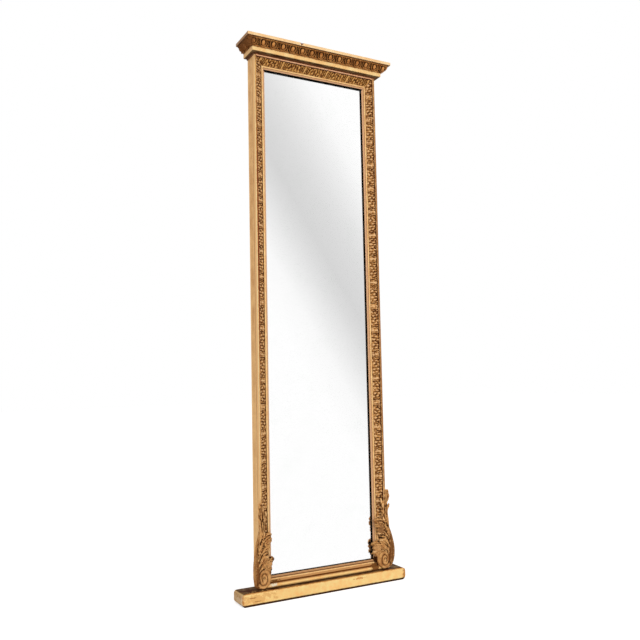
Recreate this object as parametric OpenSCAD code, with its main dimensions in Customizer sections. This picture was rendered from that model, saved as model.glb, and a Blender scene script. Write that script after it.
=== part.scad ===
// Tall giltwood pier mirror on a low plinth.
// X runs along the width, -Y is the front, +Z is up. Millimetres.
// The origin is on the floor, at the middle of the width and of the depth.
// Depths in the values below are measured forward from the wall plane at the back.

/* [Overall] */
// Height of the whole mirror
total_h = 2130; // [1700:10:2400]
// Width of the frame over its outer beads
frame_w = 548.8; // [480:0.2:700]
// Depth of the frame from the wall to the crown of its outer bead
frame_depth = 70; // [66:0.5:80]

/* [Frame section] */
// Width of the outer bead
bead_w = 7.4; // [5:0.1:9]
// Width of the carved band
band_w = 29; // [24:0.5:40]
// Width of the plain sight edge
sight_w = 14.6; // [12:0.1:20]
// Width of the sight edge that laps over the glass
lap_w = 8.6; // [6:0.1:10]
// Thickness of the pine stiles and rails
carcass_t = 44; // [38:0.5:48]
// Thickness of the black slip between the sight edge and the glass
slip_t = 5; // [3:0.5:7]
// Height of the sight edge in front of the carcass
sight_t = 7; // [5:0.5:9]
// Rise of the sloping ground from the sight edge to the bead
ground_rise = 15; // [10:0.5:18]
// Thickness of the sloping ground at its thin inner edge
ground_t = 2; // [1:0.5:3]
// Length of the tenons of the rails
tenon_l = 28; // [15:1:34]
// Thickness of the tenons of the rails
tenon_t = 14; // [10:1:18]

/* [Carving] */
// Thickness of the carved strip under its ornament
strip_t = 1.5; // [1:0.1:3]
// Height of the ornament above the strip
relief = 4; // [2:0.1:5]
// Length of one repeat of tongue and leaf
repeat_l = 94; // [80:1:110]
// Length of the smooth tongue in each repeat
tongue_l = 38; // [25:1:50]
// Height of one tongue's middle above the floor
tongue_z = 704; // [660:1:740]

/* [Cornice] */
// Width of the top board
top_board_w = 646; // [620:1:820]
// Depth of the top board
top_board_d = 122.6; // [118:0.2:150]
// Thickness of the top board
top_board_t = 12.6; // [8:0.1:20]
// Height of the egg moulding
egg_h = 25.6; // [20:0.1:34]
// Distance that the egg moulding steps out over the fascia
egg_reach = 24; // [18:0.5:30]
// Distance between neighbouring eggs
egg_pitch = 42; // [36:1:50]
// Radius of an egg
egg_r = 10; // [8:0.5:12]
// Height of the fascia
fascia_h = 17.1; // [12:0.1:25]
// Thickness of the fascia boards
fascia_t = 17.4; // [12:0.1:22]
// Distance from the wall to the front of the fascia
fascia_d = 91; // [88:0.5:94]
// Size of the small bed moulding under the fascia
bed_t = 4.5; // [3:0.1:8]

/* [Plinth] */
// Width of the plinth
plinth_w = 710; // [660:1:860]
// Depth of the plinth
plinth_d = 85.2; // [82:0.2:110]
// Height of the plinth
plinth_h = 45.8; // [35:0.2:60]
// Radius of the worn front corners of the plinth
plinth_r = 9; // [3:1:15]
// Length of the stub tenons of the stiles in the plinth
stub_l = 20; // [10:1:28]

/* [Bottom moulding] */
// Height of the round torus on the plinth
torus_h = 16.2; // [12:0.2:20]
// Distance from the wall to the front of the torus
torus_d = 65.2; // [60:0.2:74]
// Height of the groove and ogee between the torus and the sight edge
ogee_h = 10; // [8:0.5:16]

/* [Mirror and back] */
// Thickness of the mirror glass
glass_t = 4; // [3:0.5:6]
// Clearance between the edge of the glass and its rebate
glass_gap = 0.9; // [0.5:0.1:2]
// Size of the triangular blocks that wedge the glass
block_s = 11; // [8:1:14]
// Length of those blocks
block_l = 45; // [30:1:80]
// Thickness of the backboards
board_t = 8; // [5:0.5:10]
// Width of the rebate that takes the backboards
back_rebate = 10; // [8:0.5:14]
// Clearance round each backboard
board_gap = 0.4; // [0.2:0.1:0.8]
// Radius of the brads and of the wood screws
brad_r = 1; // [0.8:0.1:1.5]

/* [Scroll brackets] */
// Height of the body of the bracket above the plinth
scroll_h = 204; // [180:1:240]
// Reach of its bulge beyond the side of the frame
scroll_out = 33; // [25:0.5:40]
// Distance from the wall to the front of the bracket
scroll_d = 75; // [72:0.5:80]
// Height of the tall upper leaf above the body of the bracket
tall_leaf_h = 134; // [110:1:160]
// Width of the volute
volute_w = 58; // [48:1:60]
// Height of the volute
volute_h = 68; // [56:1:76]
// Distance from the wall to the front of the volute
volute_d = 73.5; // [72:0.5:76]
// Thickness of the volute's disc, and height of the spiral on it
volute_t = 4; // [2:0.5:4]

/* [Hangers] */
// Height of the hinge line of the hangers above the floor
hanger_z = 1720; // [1300:10:1900]
// Radius of the wire of the ring
wire_r = 1.6; // [1.3:0.1:1.8]
// Width of the ring over its wire
ring_w = 21; // [18:0.5:22]
// Height of the ring from its hinge line
ring_h = 21; // [16:0.5:24]
// Radial clearance between the ring's bar and its knuckle
ring_clear = 0.08; // [0.03:0.01:0.1]
// Wall thickness of the strap
strap_wall = 1.4; // [1:0.1:1.6]
// Width of the strap
strap_w = 11; // [8:0.5:12]
// Length of the strap below the hinge line
strap_l = 54; // [45:1:70]

/* [Hidden] */
$fn = 48;

// Places that follow from the sizes
back_y = top_board_d / 2;
frame_x = frame_w / 2;
face_w = bead_w + band_w + sight_w;
bead_x = frame_x - bead_w;
band_x = bead_x - band_w;
sight_x = frame_x - face_w;
rebate_x = sight_x + lap_w;
glass_d = carcass_t - slip_t;
cornice_z = total_h - top_board_t;
egg_z = cornice_z - egg_h;
frame_top = egg_z - fascia_h;
sight_top = frame_top - face_w;
rebate_top = sight_top + lap_w;
sight_foot = plinth_h + torus_h + ogee_h;
sight_low = sight_foot + sight_w;
rebate_low = sight_low - lap_w;
ground_angle = atan2(ground_rise, band_w);
slope_w = band_w / cos(ground_angle);
ground_front = carcass_t + ground_t;
bead_crown = frame_depth - bead_w / 2;
block_front = fascia_d - fascia_t;
fascia_x = frame_x + fascia_t;
scroll_top = plinth_h + scroll_h;
top_board_x = top_board_w / 2;
fit = 0.2;
skin = 0.3;

// Depth forward from the wall plane, as a Y coordinate
function at_depth(d) = back_y - d;

// A round curve through hand-set points: n steps from each point to the next
function bend(a, b, c, d, t) = 0.5 * ((2 * b) + (c - a) * t + (2 * a - 5 * b + 4 * c - d) * t * t
    + (3 * b - a - 3 * c + d) * t * t * t);
function flow(p, n) = [for (i = [0 : len(p) - 2], k = [0 : n - 1])
    bend(p[max(i - 1, 0)], p[i], p[i + 1], p[min(i + 2, len(p) - 1)], k / n)];
function arc(cx, cy, rx, ry, a0, a1, n) = [for (i = [0 : n])
    [cx + rx * cos(a0 + (a1 - a0) * i / n), cy + ry * sin(a0 + (a1 - a0) * i / n)]];
function to_plan(points) = [for (p = points) [p[0], at_depth(p[1])]];

// A front view shape, given in X and Z, between two depths
module slab(d0, d1) {
    translate([0, at_depth(d0), 0]) rotate([90, 0, 0]) linear_extrude(d1 - d0) children();
}

// A side section, given in Y and Z, run along X about the middle
module along_x(x0, x1) {
    translate([x0, 0, 0]) rotate([90, 0, 90]) linear_extrude(x1 - x0) children();
}

module block(x0, x1, d0, d1, z0, z1) {
    translate([x0, at_depth(d1), z0]) cube([x1 - x0, d1 - d0, z1 - z0]);
}

// The part of a side member that its mitres leave
module stile_mitre(foot) {
    slab(0, 3 * frame_depth) polygon([[sight_x - face_w, sight_top - face_w],
        [sight_x - face_w, foot], [frame_x + face_w, foot],
        [frame_x + face_w, sight_top + 2 * face_w]]);
}

module top_mitre() {
    slab(0, 3 * frame_depth) polygon([[-frame_x - face_w, sight_top + 2 * face_w],
        [-sight_x + face_w, sight_top - face_w], [sight_x - face_w, sight_top - face_w],
        [frame_x + face_w, sight_top + 2 * face_w]]);
}

// ---- Plinth ----
module plinth() {
    color("goldenrod") difference() {
        intersection() {
            block(-plinth_w / 2, plinth_w / 2, 0, plinth_d, 0, plinth_h);
            linear_extrude(plinth_h) {
                union() {
                    translate([-plinth_w / 2, at_depth(plinth_d - plinth_r)])
                        square([plinth_w, plinth_d - plinth_r]);
                    translate([-plinth_w / 2 + plinth_r, at_depth(plinth_d)])
                        square([plinth_w - 2 * plinth_r, plinth_d]);
                    for (side = [-1, 1])
                        translate([side * (plinth_w / 2 - plinth_r), at_depth(plinth_d - plinth_r)])
                            circle(r = plinth_r);
                }
            }
        }
        for (side = [0, 1]) mirror([side, 0, 0]) {
            stub_tenon(fit);
            translate([(rebate_x + frame_x) / 2, at_depth(carcass_t / 2), 0]) {
                translate([0, 0, -1]) cylinder(r = 2 * brad_r + fit, h = plinth_h);
                translate([0, 0, -1]) cylinder(r = 5 * brad_r, h = 5);
            }
        }
    }
}

module stub_tenon(clear) {
    block(rebate_x + 6 - clear, frame_x - 6 + clear, carcass_t / 2 - tenon_t / 2 - clear,
        carcass_t / 2 + tenon_t / 2 + clear, plinth_h - stub_l - clear, plinth_h + 1);
}

module plinth_screws() {
    color("dimgray") for (side = [-1, 1])
        translate([side * (rebate_x + frame_x) / 2, at_depth(carcass_t / 2), 0]) {
            translate([0, 0, 1]) cylinder(r = 4.6 * brad_r, h = 3);
            translate([0, 0, 3.9]) cylinder(r = 2 * brad_r, h = plinth_h - 4);
        }
}

// ---- Pine carcass ----
module right_stile() {
    color("burlywood") difference() {
        union() {
            block(rebate_x, frame_x, 0, carcass_t, plinth_h, cornice_z);
            stub_tenon(0);
        }
        block(rebate_x - 1, rebate_x + back_rebate, -1, board_t + 1, rebate_low - back_rebate,
            rebate_top + back_rebate);
        for (z = [(plinth_h + rebate_low) / 2, (rebate_top + cornice_z) / 2])
            tenon(fit, z);
        hanger_pocket();
    }
}

module left_stile() {
    mirror([1, 0, 0]) right_stile();
}

module tenon(clear, z) {
    block(rebate_x - 1, rebate_x + tenon_l + clear, carcass_t * 0.6 - tenon_t / 2 - clear,
        carcass_t * 0.6 + tenon_t / 2 + clear, z - 12 - clear, z + 12 + clear);
}

module rail(z0, z1, cut_from, cut_to) {
    color("burlywood") difference() {
        union() {
            block(-rebate_x, rebate_x, 0, carcass_t, z0, z1);
            for (side = [0, 1]) mirror([side, 0, 0]) tenon(0, (z0 + z1) / 2);
        }
        block(-rebate_x - 1, rebate_x + 1, -1, board_t + 1, cut_from, cut_to);
    }
}

module top_rail() {
    rail(rebate_top, cornice_z, rebate_top - 1, rebate_top + back_rebate);
}

module bottom_rail() {
    rail(plinth_h, rebate_low, rebate_low - back_rebate, rebate_low + 1);
}

// ---- Sloping ground with its outer bead ----
// Section of the ground, with its width outwards and its depth forward
function ground_section(edge) = concat(
    [[edge - bead_w - band_w, carcass_t], [edge - bead_w - band_w, ground_front],
        [edge - bead_w, ground_front + ground_rise]],
    arc(edge - bead_w / 2, bead_crown, bead_w / 2, bead_w / 2, 180, 0, 12),
    [[edge, carcass_t]]);

module right_ground() {
    color("goldenrod") intersection() {
        linear_extrude(total_h) polygon(to_plan(ground_section(frame_x)));
        stile_mitre(scroll_top);
    }
}

module left_ground() {
    mirror([1, 0, 0]) right_ground();
}

module top_ground() {
    color("goldenrod") intersection() {
        along_x(-frame_x, frame_x)
            polygon([for (p = ground_section(frame_top)) [at_depth(p[1]), p[0]]]);
        top_mitre();
    }
}

// ---- Carved bands ----
// Height of the ornament at a place s along one repeat: one tongue, then three leaf lobes
leaf_l = repeat_l - tongue_l;
function lobe_height(s) = s < tongue_l
    ? sqrt(max(0, 1 - pow(2 * s / tongue_l - 1, 2)))
    : 0.8 * abs(sin(540 * (s - tongue_l) / leaf_l));
TONGUE_STEPS = [0, 0.03, 0.12, 0.3, 0.5, 0.7, 0.88, 0.97];
LEAF_STEPS = [0, 0.09, 0.167, 0.25, 0.333, 0.42, 0.5, 0.58, 0.667, 0.75, 0.833, 0.91];
function repeat_places() = concat([for (t = TONGUE_STEPS) t * tongue_l],
    [for (t = LEAF_STEPS) tongue_l + t * leaf_l]);
function band_line(from, to, phase) = concat([[from, 0], [from, strip_t]],
    [for (k = [floor((from - phase) / repeat_l) : ceil((to - phase) / repeat_l)],
        s = repeat_places())
        if (phase + k * repeat_l + s > from + 0.5 && phase + k * repeat_l + s < to - 0.5)
            [phase + k * repeat_l + s, strip_t + relief * lobe_height(s)]],
    [[to, strip_t], [to, 0]]);

module right_carved_band() {
    color("darkgoldenrod") intersection() {
        translate([band_x, at_depth(ground_front), 0]) rotate([0, 0, -ground_angle])
            rotate([180, -90, 0]) linear_extrude(slope_w)
                polygon(band_line(scroll_top, frame_top, tongue_z - tongue_l / 2));
        stile_mitre(scroll_top);
        block(0, bead_x, 0, 2 * frame_depth, 0, total_h);
        block(band_x, frame_x, 0, 2 * frame_depth, 0, total_h);
    }
}

module left_carved_band() {
    mirror([1, 0, 0]) right_carved_band();
}

module top_carved_band() {
    color("darkgoldenrod") intersection() {
        translate([0, at_depth(ground_front), frame_top - bead_w - band_w])
            rotate([ground_angle, 0, 0]) rotate([0, 0, 180]) linear_extrude(slope_w)
                polygon(band_line(-frame_x, frame_x, -tongue_l / 2));
        top_mitre();
        block(-frame_x, frame_x, 0, 2 * frame_depth, 0, frame_top - bead_w);
        block(-frame_x, frame_x, 0, 2 * frame_depth, frame_top - bead_w - band_w, total_h);
    }
}

// ---- Sight edge and black slips ----
// Section of the sight edge: a flat fillet outside, then a step and a hollow towards the glass
function sight_section(outer) = concat(
    [[outer, carcass_t], [outer, carcass_t + sight_t - 0.6],
        [outer - 0.8, carcass_t + sight_t], [outer - 6, carcass_t + sight_t],
        [outer - 6.8, carcass_t + sight_t - 0.8], [outer - 6.8, carcass_t + sight_t - 2.2]],
    arc(outer - 6.8 - (sight_w - 8), carcass_t + sight_t - 2.2, sight_w - 8, sight_t - 3.4,
        360, 270, 6),
    [[outer - sight_w, carcass_t + 1.2], [outer - sight_w, carcass_t]]);

module right_sight_edge() {
    color("gold") intersection() {
        linear_extrude(total_h) polygon(to_plan(sight_section(band_x)));
        slab(0, frame_depth) polygon([[sight_x, sight_low], [sight_x, sight_top],
            [band_x, sight_top + sight_w], [band_x, sight_foot]]);
    }
}

module left_sight_edge() {
    mirror([1, 0, 0]) right_sight_edge();
}

module top_sight_edge() {
    color("gold") intersection() {
        along_x(-band_x, band_x)
            polygon([for (p = sight_section(sight_top + sight_w)) [at_depth(p[1]), p[0]]]);
        slab(0, frame_depth) polygon([[-sight_x, sight_top], [sight_x, sight_top],
            [band_x, sight_top + sight_w], [-band_x, sight_top + sight_w]]);
    }
}

module bottom_sight_edge() {
    color("gold") intersection() {
        along_x(-band_x, band_x) polygon([for (p = sight_section(sight_w))
            [at_depth(p[1]), sight_low - p[0]]]);
        slab(0, frame_depth) polygon([[-band_x, sight_foot], [band_x, sight_foot],
            [sight_x, sight_low], [-sight_x, sight_low]]);
    }
}

module right_slip() {
    color("black") block(sight_x, rebate_x, glass_d, carcass_t, rebate_low, rebate_top);
}

module left_slip() {
    mirror([1, 0, 0]) right_slip();
}

module top_slip() {
    color("black") block(-sight_x, sight_x, glass_d, carcass_t, sight_top, rebate_top);
}

module bottom_slip() {
    color("black") block(-sight_x, sight_x, glass_d, carcass_t, rebate_low, sight_low);
}

// ---- Bottom moulding between the brackets ----
module base_moulding() {
    torus_r = torus_h / 2;
    groove_d = torus_d - 11;
    run_x = frame_x - 26;
    color("goldenrod") along_x(-run_x, run_x) polygon([for (p = concat(
        [[carcass_t, plinth_h]],
        arc(torus_d - torus_r, plinth_h + torus_r, torus_r, torus_r, -90, 90, 12),
        [[groove_d, plinth_h + torus_h], [groove_d, plinth_h + torus_h + 3]],
        arc(groove_d - 2.2, plinth_h + torus_h + 5, 2.2, 2, -90, 60, 5),
        [[carcass_t + sight_t - 1, sight_foot], [carcass_t, sight_foot]])) [at_depth(p[0]), p[1]]]);
}

// ---- Mirror and back ----
module mirror_glass() {
    color("lightsteelblue") block(-rebate_x + glass_gap, rebate_x - glass_gap,
        glass_d - glass_t, glass_d, rebate_low, rebate_top - 2 * glass_gap);
}

module glass_blocks() {
    span = rebate_top - rebate_low;
    back = at_depth(glass_d - glass_t);
    color("tan") {
        for (side = [0, 1], i = [1 : 5]) mirror([side, 0, 0])
            translate([rebate_x, back, rebate_low + span * i / 6])
                linear_extrude(block_l, center = true)
                    polygon([[0, 0], [0, block_s], [-block_s, 0]]);
        for (x = [-sight_x / 2, sight_x / 2], up = [1, -1])
            translate([x, back, up > 0 ? rebate_low : rebate_top]) rotate([90, 0, 90])
                linear_extrude(block_l, center = true)
                    polygon([[0, 0], [block_s, 0], [0, up * block_s]]);
    }
}

board_low = rebate_low - back_rebate;
board_h = (rebate_top + back_rebate - board_low) / 4;

module backboard(i) {
    color("peru") block(-rebate_x - back_rebate + board_gap, rebate_x + back_rebate - board_gap, 1,
        board_t + 1, board_low + board_h * i + board_gap, board_low + board_h * (i + 1) - board_gap);
}

module backboard_1() {
    backboard(0);
}

module backboard_2() {
    backboard(1);
}

module backboard_3() {
    backboard(2);
}

module backboard_4() {
    backboard(3);
}

module backboard_brads() {
    brad_x = rebate_x + back_rebate / 2;
    color("dimgray") for (side = [-1, 1], i = [0 : 3], k = [0.12, 0.5, 0.88])
        translate([side * brad_x, at_depth(1 - skin), board_low + board_h * (i + k)])
            rotate([90, 0, 0]) {
                cylinder(r = 2 * brad_r, h = skin);
                cylinder(r = brad_r, h = board_t + 14);
            }
}

// ---- Cornice ----
module cornice_block() {
    color("burlywood") block(-frame_x, frame_x, carcass_t, block_front, frame_top, cornice_z);
}

// The part of a front or a side board of the cornice that its mitres leave
module front_share() {
    linear_extrude(total_h + 1) polygon([[-frame_x, at_depth(block_front)],
        [frame_x, at_depth(block_front)], [frame_x + frame_depth, at_depth(block_front + frame_depth)],
        [-frame_x - frame_depth, at_depth(block_front + frame_depth)]]);
}

module side_share() {
    linear_extrude(total_h + 1) polygon([[frame_x, at_depth(0)], [frame_x, at_depth(block_front)],
        [frame_x + frame_depth, at_depth(block_front + frame_depth)],
        [frame_x + frame_depth, at_depth(0)]]);
}

module front_bed_moulding() {
    color("goldenrod") along_x(-frame_x, frame_x) polygon([for (p = concat(
        [[frame_depth, frame_top]],
        arc(frame_depth, frame_top, bed_t, bed_t, 0, -90, 6))) [at_depth(p[0]), p[1]]]);
}

module right_bed_moulding() {
    color("goldenrod") translate([0, at_depth(frame_depth), 0]) rotate([-90, 0, 0])
        linear_extrude(frame_depth) polygon(concat([[frame_x, -frame_top]],
            arc(frame_x, -frame_top, bed_t, bed_t, 0, 90, 6)));
}

module left_bed_moulding() {
    mirror([1, 0, 0]) right_bed_moulding();
}

module front_fascia() {
    color("gold") intersection() {
        block(-fascia_x, fascia_x, block_front, fascia_d, frame_top, egg_z);
        front_share();
    }
}

module right_fascia() {
    color("gold") intersection() {
        block(frame_x, fascia_x, 0, fascia_d, frame_top, egg_z);
        side_share();
    }
}

module left_fascia() {
    mirror([1, 0, 0]) right_fascia();
}

// Section of the egg moulding: its reach out over the fascia and its height
function egg_section(grow) = concat([[-fascia_t, 0], [0, 0]],
    arc(0, egg_h - 3, egg_reach + grow, egg_h - 5 + grow, -90, 0, 8),
    [[egg_reach + grow, egg_h], [-fascia_t, egg_h]]);

module egg_run(length) {
    rotate([90, 0, 90]) linear_extrude(length, center = true)
        polygon([for (p = egg_section(0)) [-p[0], p[1]]]);
}

// One egg, leaning out over the fascia, with its long axis in the curve of the moulding
module egg() {
    translate([0, -egg_reach * 0.6, egg_h * 0.46]) rotate([45, 0, 0])
        rotate_extrude() polygon(arc(0, 0, egg_r, egg_h * 0.52, -90, 90, 8));
}

// A narrow dart: a rib of the moulding's own section
module dart() {
    rotate([90, 0, 90]) linear_extrude(3, center = true)
        polygon([for (p = egg_section(2)) [-p[0], p[1]]]);
}

module egg_row(from, to, cut) {
    intersection() {
        union() {
            children();
            for (x = [from : egg_pitch : to]) translate([x, 0, 0]) egg();
            for (x = [from - egg_pitch / 2 : egg_pitch : to + egg_pitch / 2])
                translate([x, 0, 0]) dart();
        }
        translate([-frame_w, -egg_reach - 2.5, 0]) cube([2 * frame_w, egg_reach + fascia_t + 2.5, egg_h]);
    }
}

module front_egg_moulding() {
    last = floor((fascia_x + 4) / egg_pitch) * egg_pitch;
    color("darkgoldenrod") intersection() {
        translate([0, at_depth(fascia_d), egg_z]) egg_row(-last, last)
            egg_run(2 * (fascia_x + egg_reach));
        front_share();
    }
}

module right_egg_moulding() {
    color("darkgoldenrod") intersection() {
        translate([fascia_x, at_depth(fascia_d), egg_z]) rotate([0, 0, 90])
            egg_row(2 * egg_r - 5, fascia_d + egg_pitch) translate([fascia_d / 2, 0, 0])
                egg_run(2 * fascia_d);
        side_share();
    }
}

module left_egg_moulding() {
    mirror([1, 0, 0]) right_egg_moulding();
}

module top_board() {
    color("gold") block(-top_board_x, top_board_x, 0, top_board_d, cornice_z, total_h);
}

// ---- Scroll brackets ----
// Places on the bracket: outwards from the side of the frame, and up from the plinth
out_k = scroll_out / 33;
up_k = scroll_h / 204;
function on_bracket(points) = [for (p = points)
    [frame_x + p[0] * (p[0] > 0 ? out_k : 1), plinth_h + p[1] * up_k]];

// Section in plan of the flank that fairs the bracket back to the wall
module flank_plan() {
    polygon(to_plan(concat([[band_x, carcass_t], [frame_x + 0.01, carcass_t], [frame_x, 4]],
        flow([[frame_x + 2 * out_k, 4], [frame_x + 8 * out_k, 26], [frame_x + 15 * out_k, 44],
            [frame_x + 25 * out_k, 60], [frame_x + scroll_out, scroll_d - 4]], 4),
        [[frame_x + scroll_out, scroll_d + 4], [band_x, scroll_d + 4]])));
}

// The bulge of the bracket, from its front at the foot to the frame at its top
module bulge_side() {
    polygon([for (p = concat([[0, plinth_h]], [[scroll_d - 6, plinth_h]],
        flow([for (q = [[-6, 6], [-1, 30], [0, 70], [-2, 110], [-6, 150], [-9, 185], [-10, 204]])
            [scroll_d + q[0], plinth_h + q[1] * up_k]], 3),
        [[scroll_d - 10, scroll_top], [0, scroll_top]])) [at_depth(p[0]), p[1]]]);
}

module bracket_outline() {
    polygon(concat([[band_x, scroll_top]],
        flow(on_bracket([[5, 204], [9, 184], [13, 166], [20.5, 120], [29, 92], [33, 62], [32, 42],
            [26, 20], [14, 6], [0, 0.5]]), 4),
        on_bracket([[-3, 0], [-22, 8], [-33, 18]]), [[band_x, plinth_h + 30]]));
}

module right_scroll_body() {
    color("peru") difference() {
        intersection() {
            slab(0, scroll_d) bracket_outline();
            linear_extrude(scroll_top) flank_plan();
            along_x(band_x, frame_x + scroll_out + 1) bulge_side();
        }
        block(0, frame_x, -1, carcass_t, 0, total_h);
        block(0, frame_x - 26, 0, torus_d, 0, sight_foot);
        slab(volute_d - 2 * volute_t, scroll_d + 1) volute_outline(skin);
    }
}

module left_scroll_body() {
    mirror([1, 0, 0]) right_scroll_body();
}

volute_x = frame_x - 11;
volute_z = plinth_h + volute_h / 2 + 2;

module volute_outline(grow) {
    polygon(arc(volute_x, volute_z, volute_w / 2 + grow, volute_h / 2 + grow, 0, 345, 23));
}

// Radius of the spiral as a share of the volute's own, over its turns
function spiral(turn) = 0.96 - 0.34 * turn;
function spiral_point(turn, share) = [volute_x + volute_w / 2 * (spiral(turn) - share) * cos(360 * turn - 60),
    volute_z + volute_h / 2 * (spiral(turn) - share) * sin(360 * turn - 60)];

module right_volute() {
    turns = 2.1;
    color("sienna") {
        slab(volute_d - 2 * volute_t, volute_d - volute_t) volute_outline(0);
        slab(volute_d - volute_t, volute_d) polygon(concat(
            [for (i = [0 : 40]) spiral_point(turns * i / 40, 0)],
            [for (i = [40 : -1 : 0]) spiral_point(turns * i / 40, 0.16)]));
    }
}

module left_volute() {
    mirror([1, 0, 0]) right_volute();
}

// A carved leaf: its front outline, between a back and a front line in plan
module leaf(outline, back_line, front_line) {
    intersection() {
        slab(0, 2 * scroll_d) polygon(outline);
        linear_extrude(total_h) polygon(to_plan(concat(back_line, front_line)));
    }
}

// The low leaf springs from the volute and laps over the sight edge and the glass
module right_low_leaf() {
    color("peru") leaf(on_bracket(concat([[-36.4, 118]],
        flow([[-42, 112], [-52, 108], [-60, 110], [-66, 99], [-62, 91], [-59, 86], [-62, 76],
            [-62, 68], [-57, 60], [-48, 57], [-40, 52]], 3), [[-36.4, 50]])),
        [[sight_x - 17, 42], [sight_x - 10, 46], [sight_x, carcass_t + sight_t],
            [band_x, carcass_t + sight_t]],
        [[band_x, 63], [sight_x, 60], [sight_x - 10, 54], [sight_x - 17, 47]]);
}

module left_low_leaf() {
    mirror([1, 0, 0]) right_low_leaf();
}

// The rolled leaf turns over the sight edge above the low one
module right_rolled_leaf() {
    color("peru") leaf(on_bracket(concat([[-36.4, 201]],
        flow([[-44, 200], [-51, 196], [-54, 188], [-51, 180], [-46, 172], [-42, 164], [-41, 156],
            [-44, 148], [-42, 138]], 3), [[-36.4, 132]])),
        [[sight_x - 4, 49], [sight_x, carcass_t + sight_t], [band_x, carcass_t + sight_t]],
        [[band_x, 64], [sight_x, 61], [sight_x - 4, 57]]);
}

module left_rolled_leaf() {
    mirror([1, 0, 0]) right_rolled_leaf();
}

// The tall leaf stands on the body and wraps the outer corner of the frame
tall_k = tall_leaf_h / 134;
function on_tall_leaf(points) = [for (p = points)
    [frame_x + p[0] * (p[0] > 0 ? out_k : 1), scroll_top + p[1] * tall_k]];

module right_tall_leaf() {
    color("peru") difference() {
        leaf(on_tall_leaf(concat([[-10, 0]],
            flow([[-14, 12], [-16, 34], [-22, 56], [-29, 84], [-25, 74], [-17, 62], [-15, 84],
                [-12, 104], [-9, 84], [-4, 98], [2, 132], [9, 114], [15, 94], [9, 76], [5, 62],
                [10, 54], [16, 52], [13, 38], [8, 24], [6, 12]], 3), [[5, 0]])),
            [[bead_x - band_w, carcass_t], [frame_x, carcass_t], [frame_x, 34],
                [frame_x + 8 * out_k, 44], [frame_x + 22 * out_k, 66]],
            [[frame_x + 22 * out_k, scroll_d], [bead_x, scroll_d], [band_x, scroll_d - 6]]);
        linear_extrude(total_h) polygon(to_plan(concat(
            [[band_x - 1, 0], [band_x - 1, ground_front + 0.4 + (strip_t + relief) / cos(ground_angle)],
                [bead_x, ground_front + ground_rise + 0.4 + (strip_t + relief) / cos(ground_angle)]],
            arc(frame_x - bead_w / 2, bead_crown, bead_w / 2, bead_w / 2, 150, 0, 10),
            [[frame_x, 0]])));
    }
}

module left_tall_leaf() {
    mirror([1, 0, 0]) right_tall_leaf();
}

// ---- Hangers in pockets in the back of the stiles ----
hanger_x = (rebate_x + back_rebate + frame_x) / 2;
pocket_w = ring_w + 4;
pocket_d = 8;
bar_r = wire_r;
knuckle_r = bar_r + ring_clear;
hinge_d = knuckle_r + strap_wall + 0.4;
ring_span = ring_w - 2 * wire_r;

module hanger_pocket() {
    block(hanger_x - pocket_w / 2, hanger_x + pocket_w / 2, -1, pocket_d,
        hanger_z - strap_l - 2, hanger_z + ring_h + 4);
}

module right_hanger_strap() {
    eye_r = knuckle_r + strap_wall;
    color("silver") difference() {
        union() {
            translate([hanger_x, at_depth(hinge_d), hanger_z]) rotate([0, 90, 0])
                cylinder(r = eye_r, h = strap_w, center = true);
            block(hanger_x - strap_w / 2, hanger_x + strap_w / 2, pocket_d - strap_wall, pocket_d,
                hanger_z - strap_l, hanger_z);
            block(hanger_x - strap_w / 2, hanger_x + strap_w / 2, hinge_d, pocket_d,
                hanger_z - 2, hanger_z + 2);
        }
        translate([hanger_x, at_depth(hinge_d), hanger_z]) rotate([0, 90, 0])
            cylinder(r = knuckle_r, h = strap_w + 2, center = true);
        for (z = [27, 45]) translate([hanger_x, at_depth(0), hanger_z - z]) rotate([90, 0, 0])
            cylinder(r = 2 * brad_r, h = 2 * pocket_d);
    }
}

module left_hanger_strap() {
    mirror([1, 0, 0]) right_hanger_strap();
}

// The ring: a bar through the knuckle and a round bow of the same wire
module right_hanger_ring() {
    leg = ring_h - wire_r - ring_span / 2;
    color("silver") translate([hanger_x, at_depth(hinge_d), hanger_z]) {
        rotate([0, 90, 0]) cylinder(r = bar_r, h = ring_span, center = true);
        for (side = [-1, 1]) {
            translate([side * ring_span / 2, 0, 0]) sphere(r = wire_r);
            translate([side * ring_span / 2, 0, -leg]) cylinder(r = wire_r, h = leg);
        }
        translate([0, 0, -leg]) rotate([90, 0, 0]) rotate_extrude(angle = 180, start = 180)
            translate([ring_span / 2, 0]) circle(r = wire_r);
    }
}

module left_hanger_ring() {
    mirror([1, 0, 0]) right_hanger_ring();
}

module hanger_screws() {
    color("dimgray") for (side = [-1, 1], z = [27, 45])
        translate([side * hanger_x, at_depth(pocket_d - strap_wall), hanger_z - z])
            rotate([90, 0, 0]) {
                translate([0, 0, -1.8]) cylinder(r = 3.4 * brad_r, h = 1.8);
                cylinder(r = 2 * brad_r - 0.05, h = strap_wall + 18);
            }
}

plinth();
plinth_screws();
left_stile();
right_stile();
top_rail();
bottom_rail();
left_ground();
right_ground();
top_ground();
left_carved_band();
right_carved_band();
top_carved_band();
left_sight_edge();
right_sight_edge();
top_sight_edge();
bottom_sight_edge();
left_slip();
right_slip();
top_slip();
bottom_slip();
base_moulding();
mirror_glass();
glass_blocks();
backboard_1();
backboard_2();
backboard_3();
backboard_4();
backboard_brads();
cornice_block();
front_bed_moulding();
left_bed_moulding();
right_bed_moulding();
front_fascia();
left_fascia();
right_fascia();
front_egg_moulding();
left_egg_moulding();
right_egg_moulding();
top_board();
left_scroll_body();
right_scroll_body();
left_volute();
right_volute();
left_low_leaf();
right_low_leaf();
left_rolled_leaf();
right_rolled_leaf();
left_tall_leaf();
right_tall_leaf();
left_hanger_strap();
right_hanger_strap();
left_hanger_ring();
right_hanger_ring();
hanger_screws();
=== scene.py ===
from math import cos, exp, hypot, pi, radians, sin, sqrt

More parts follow.
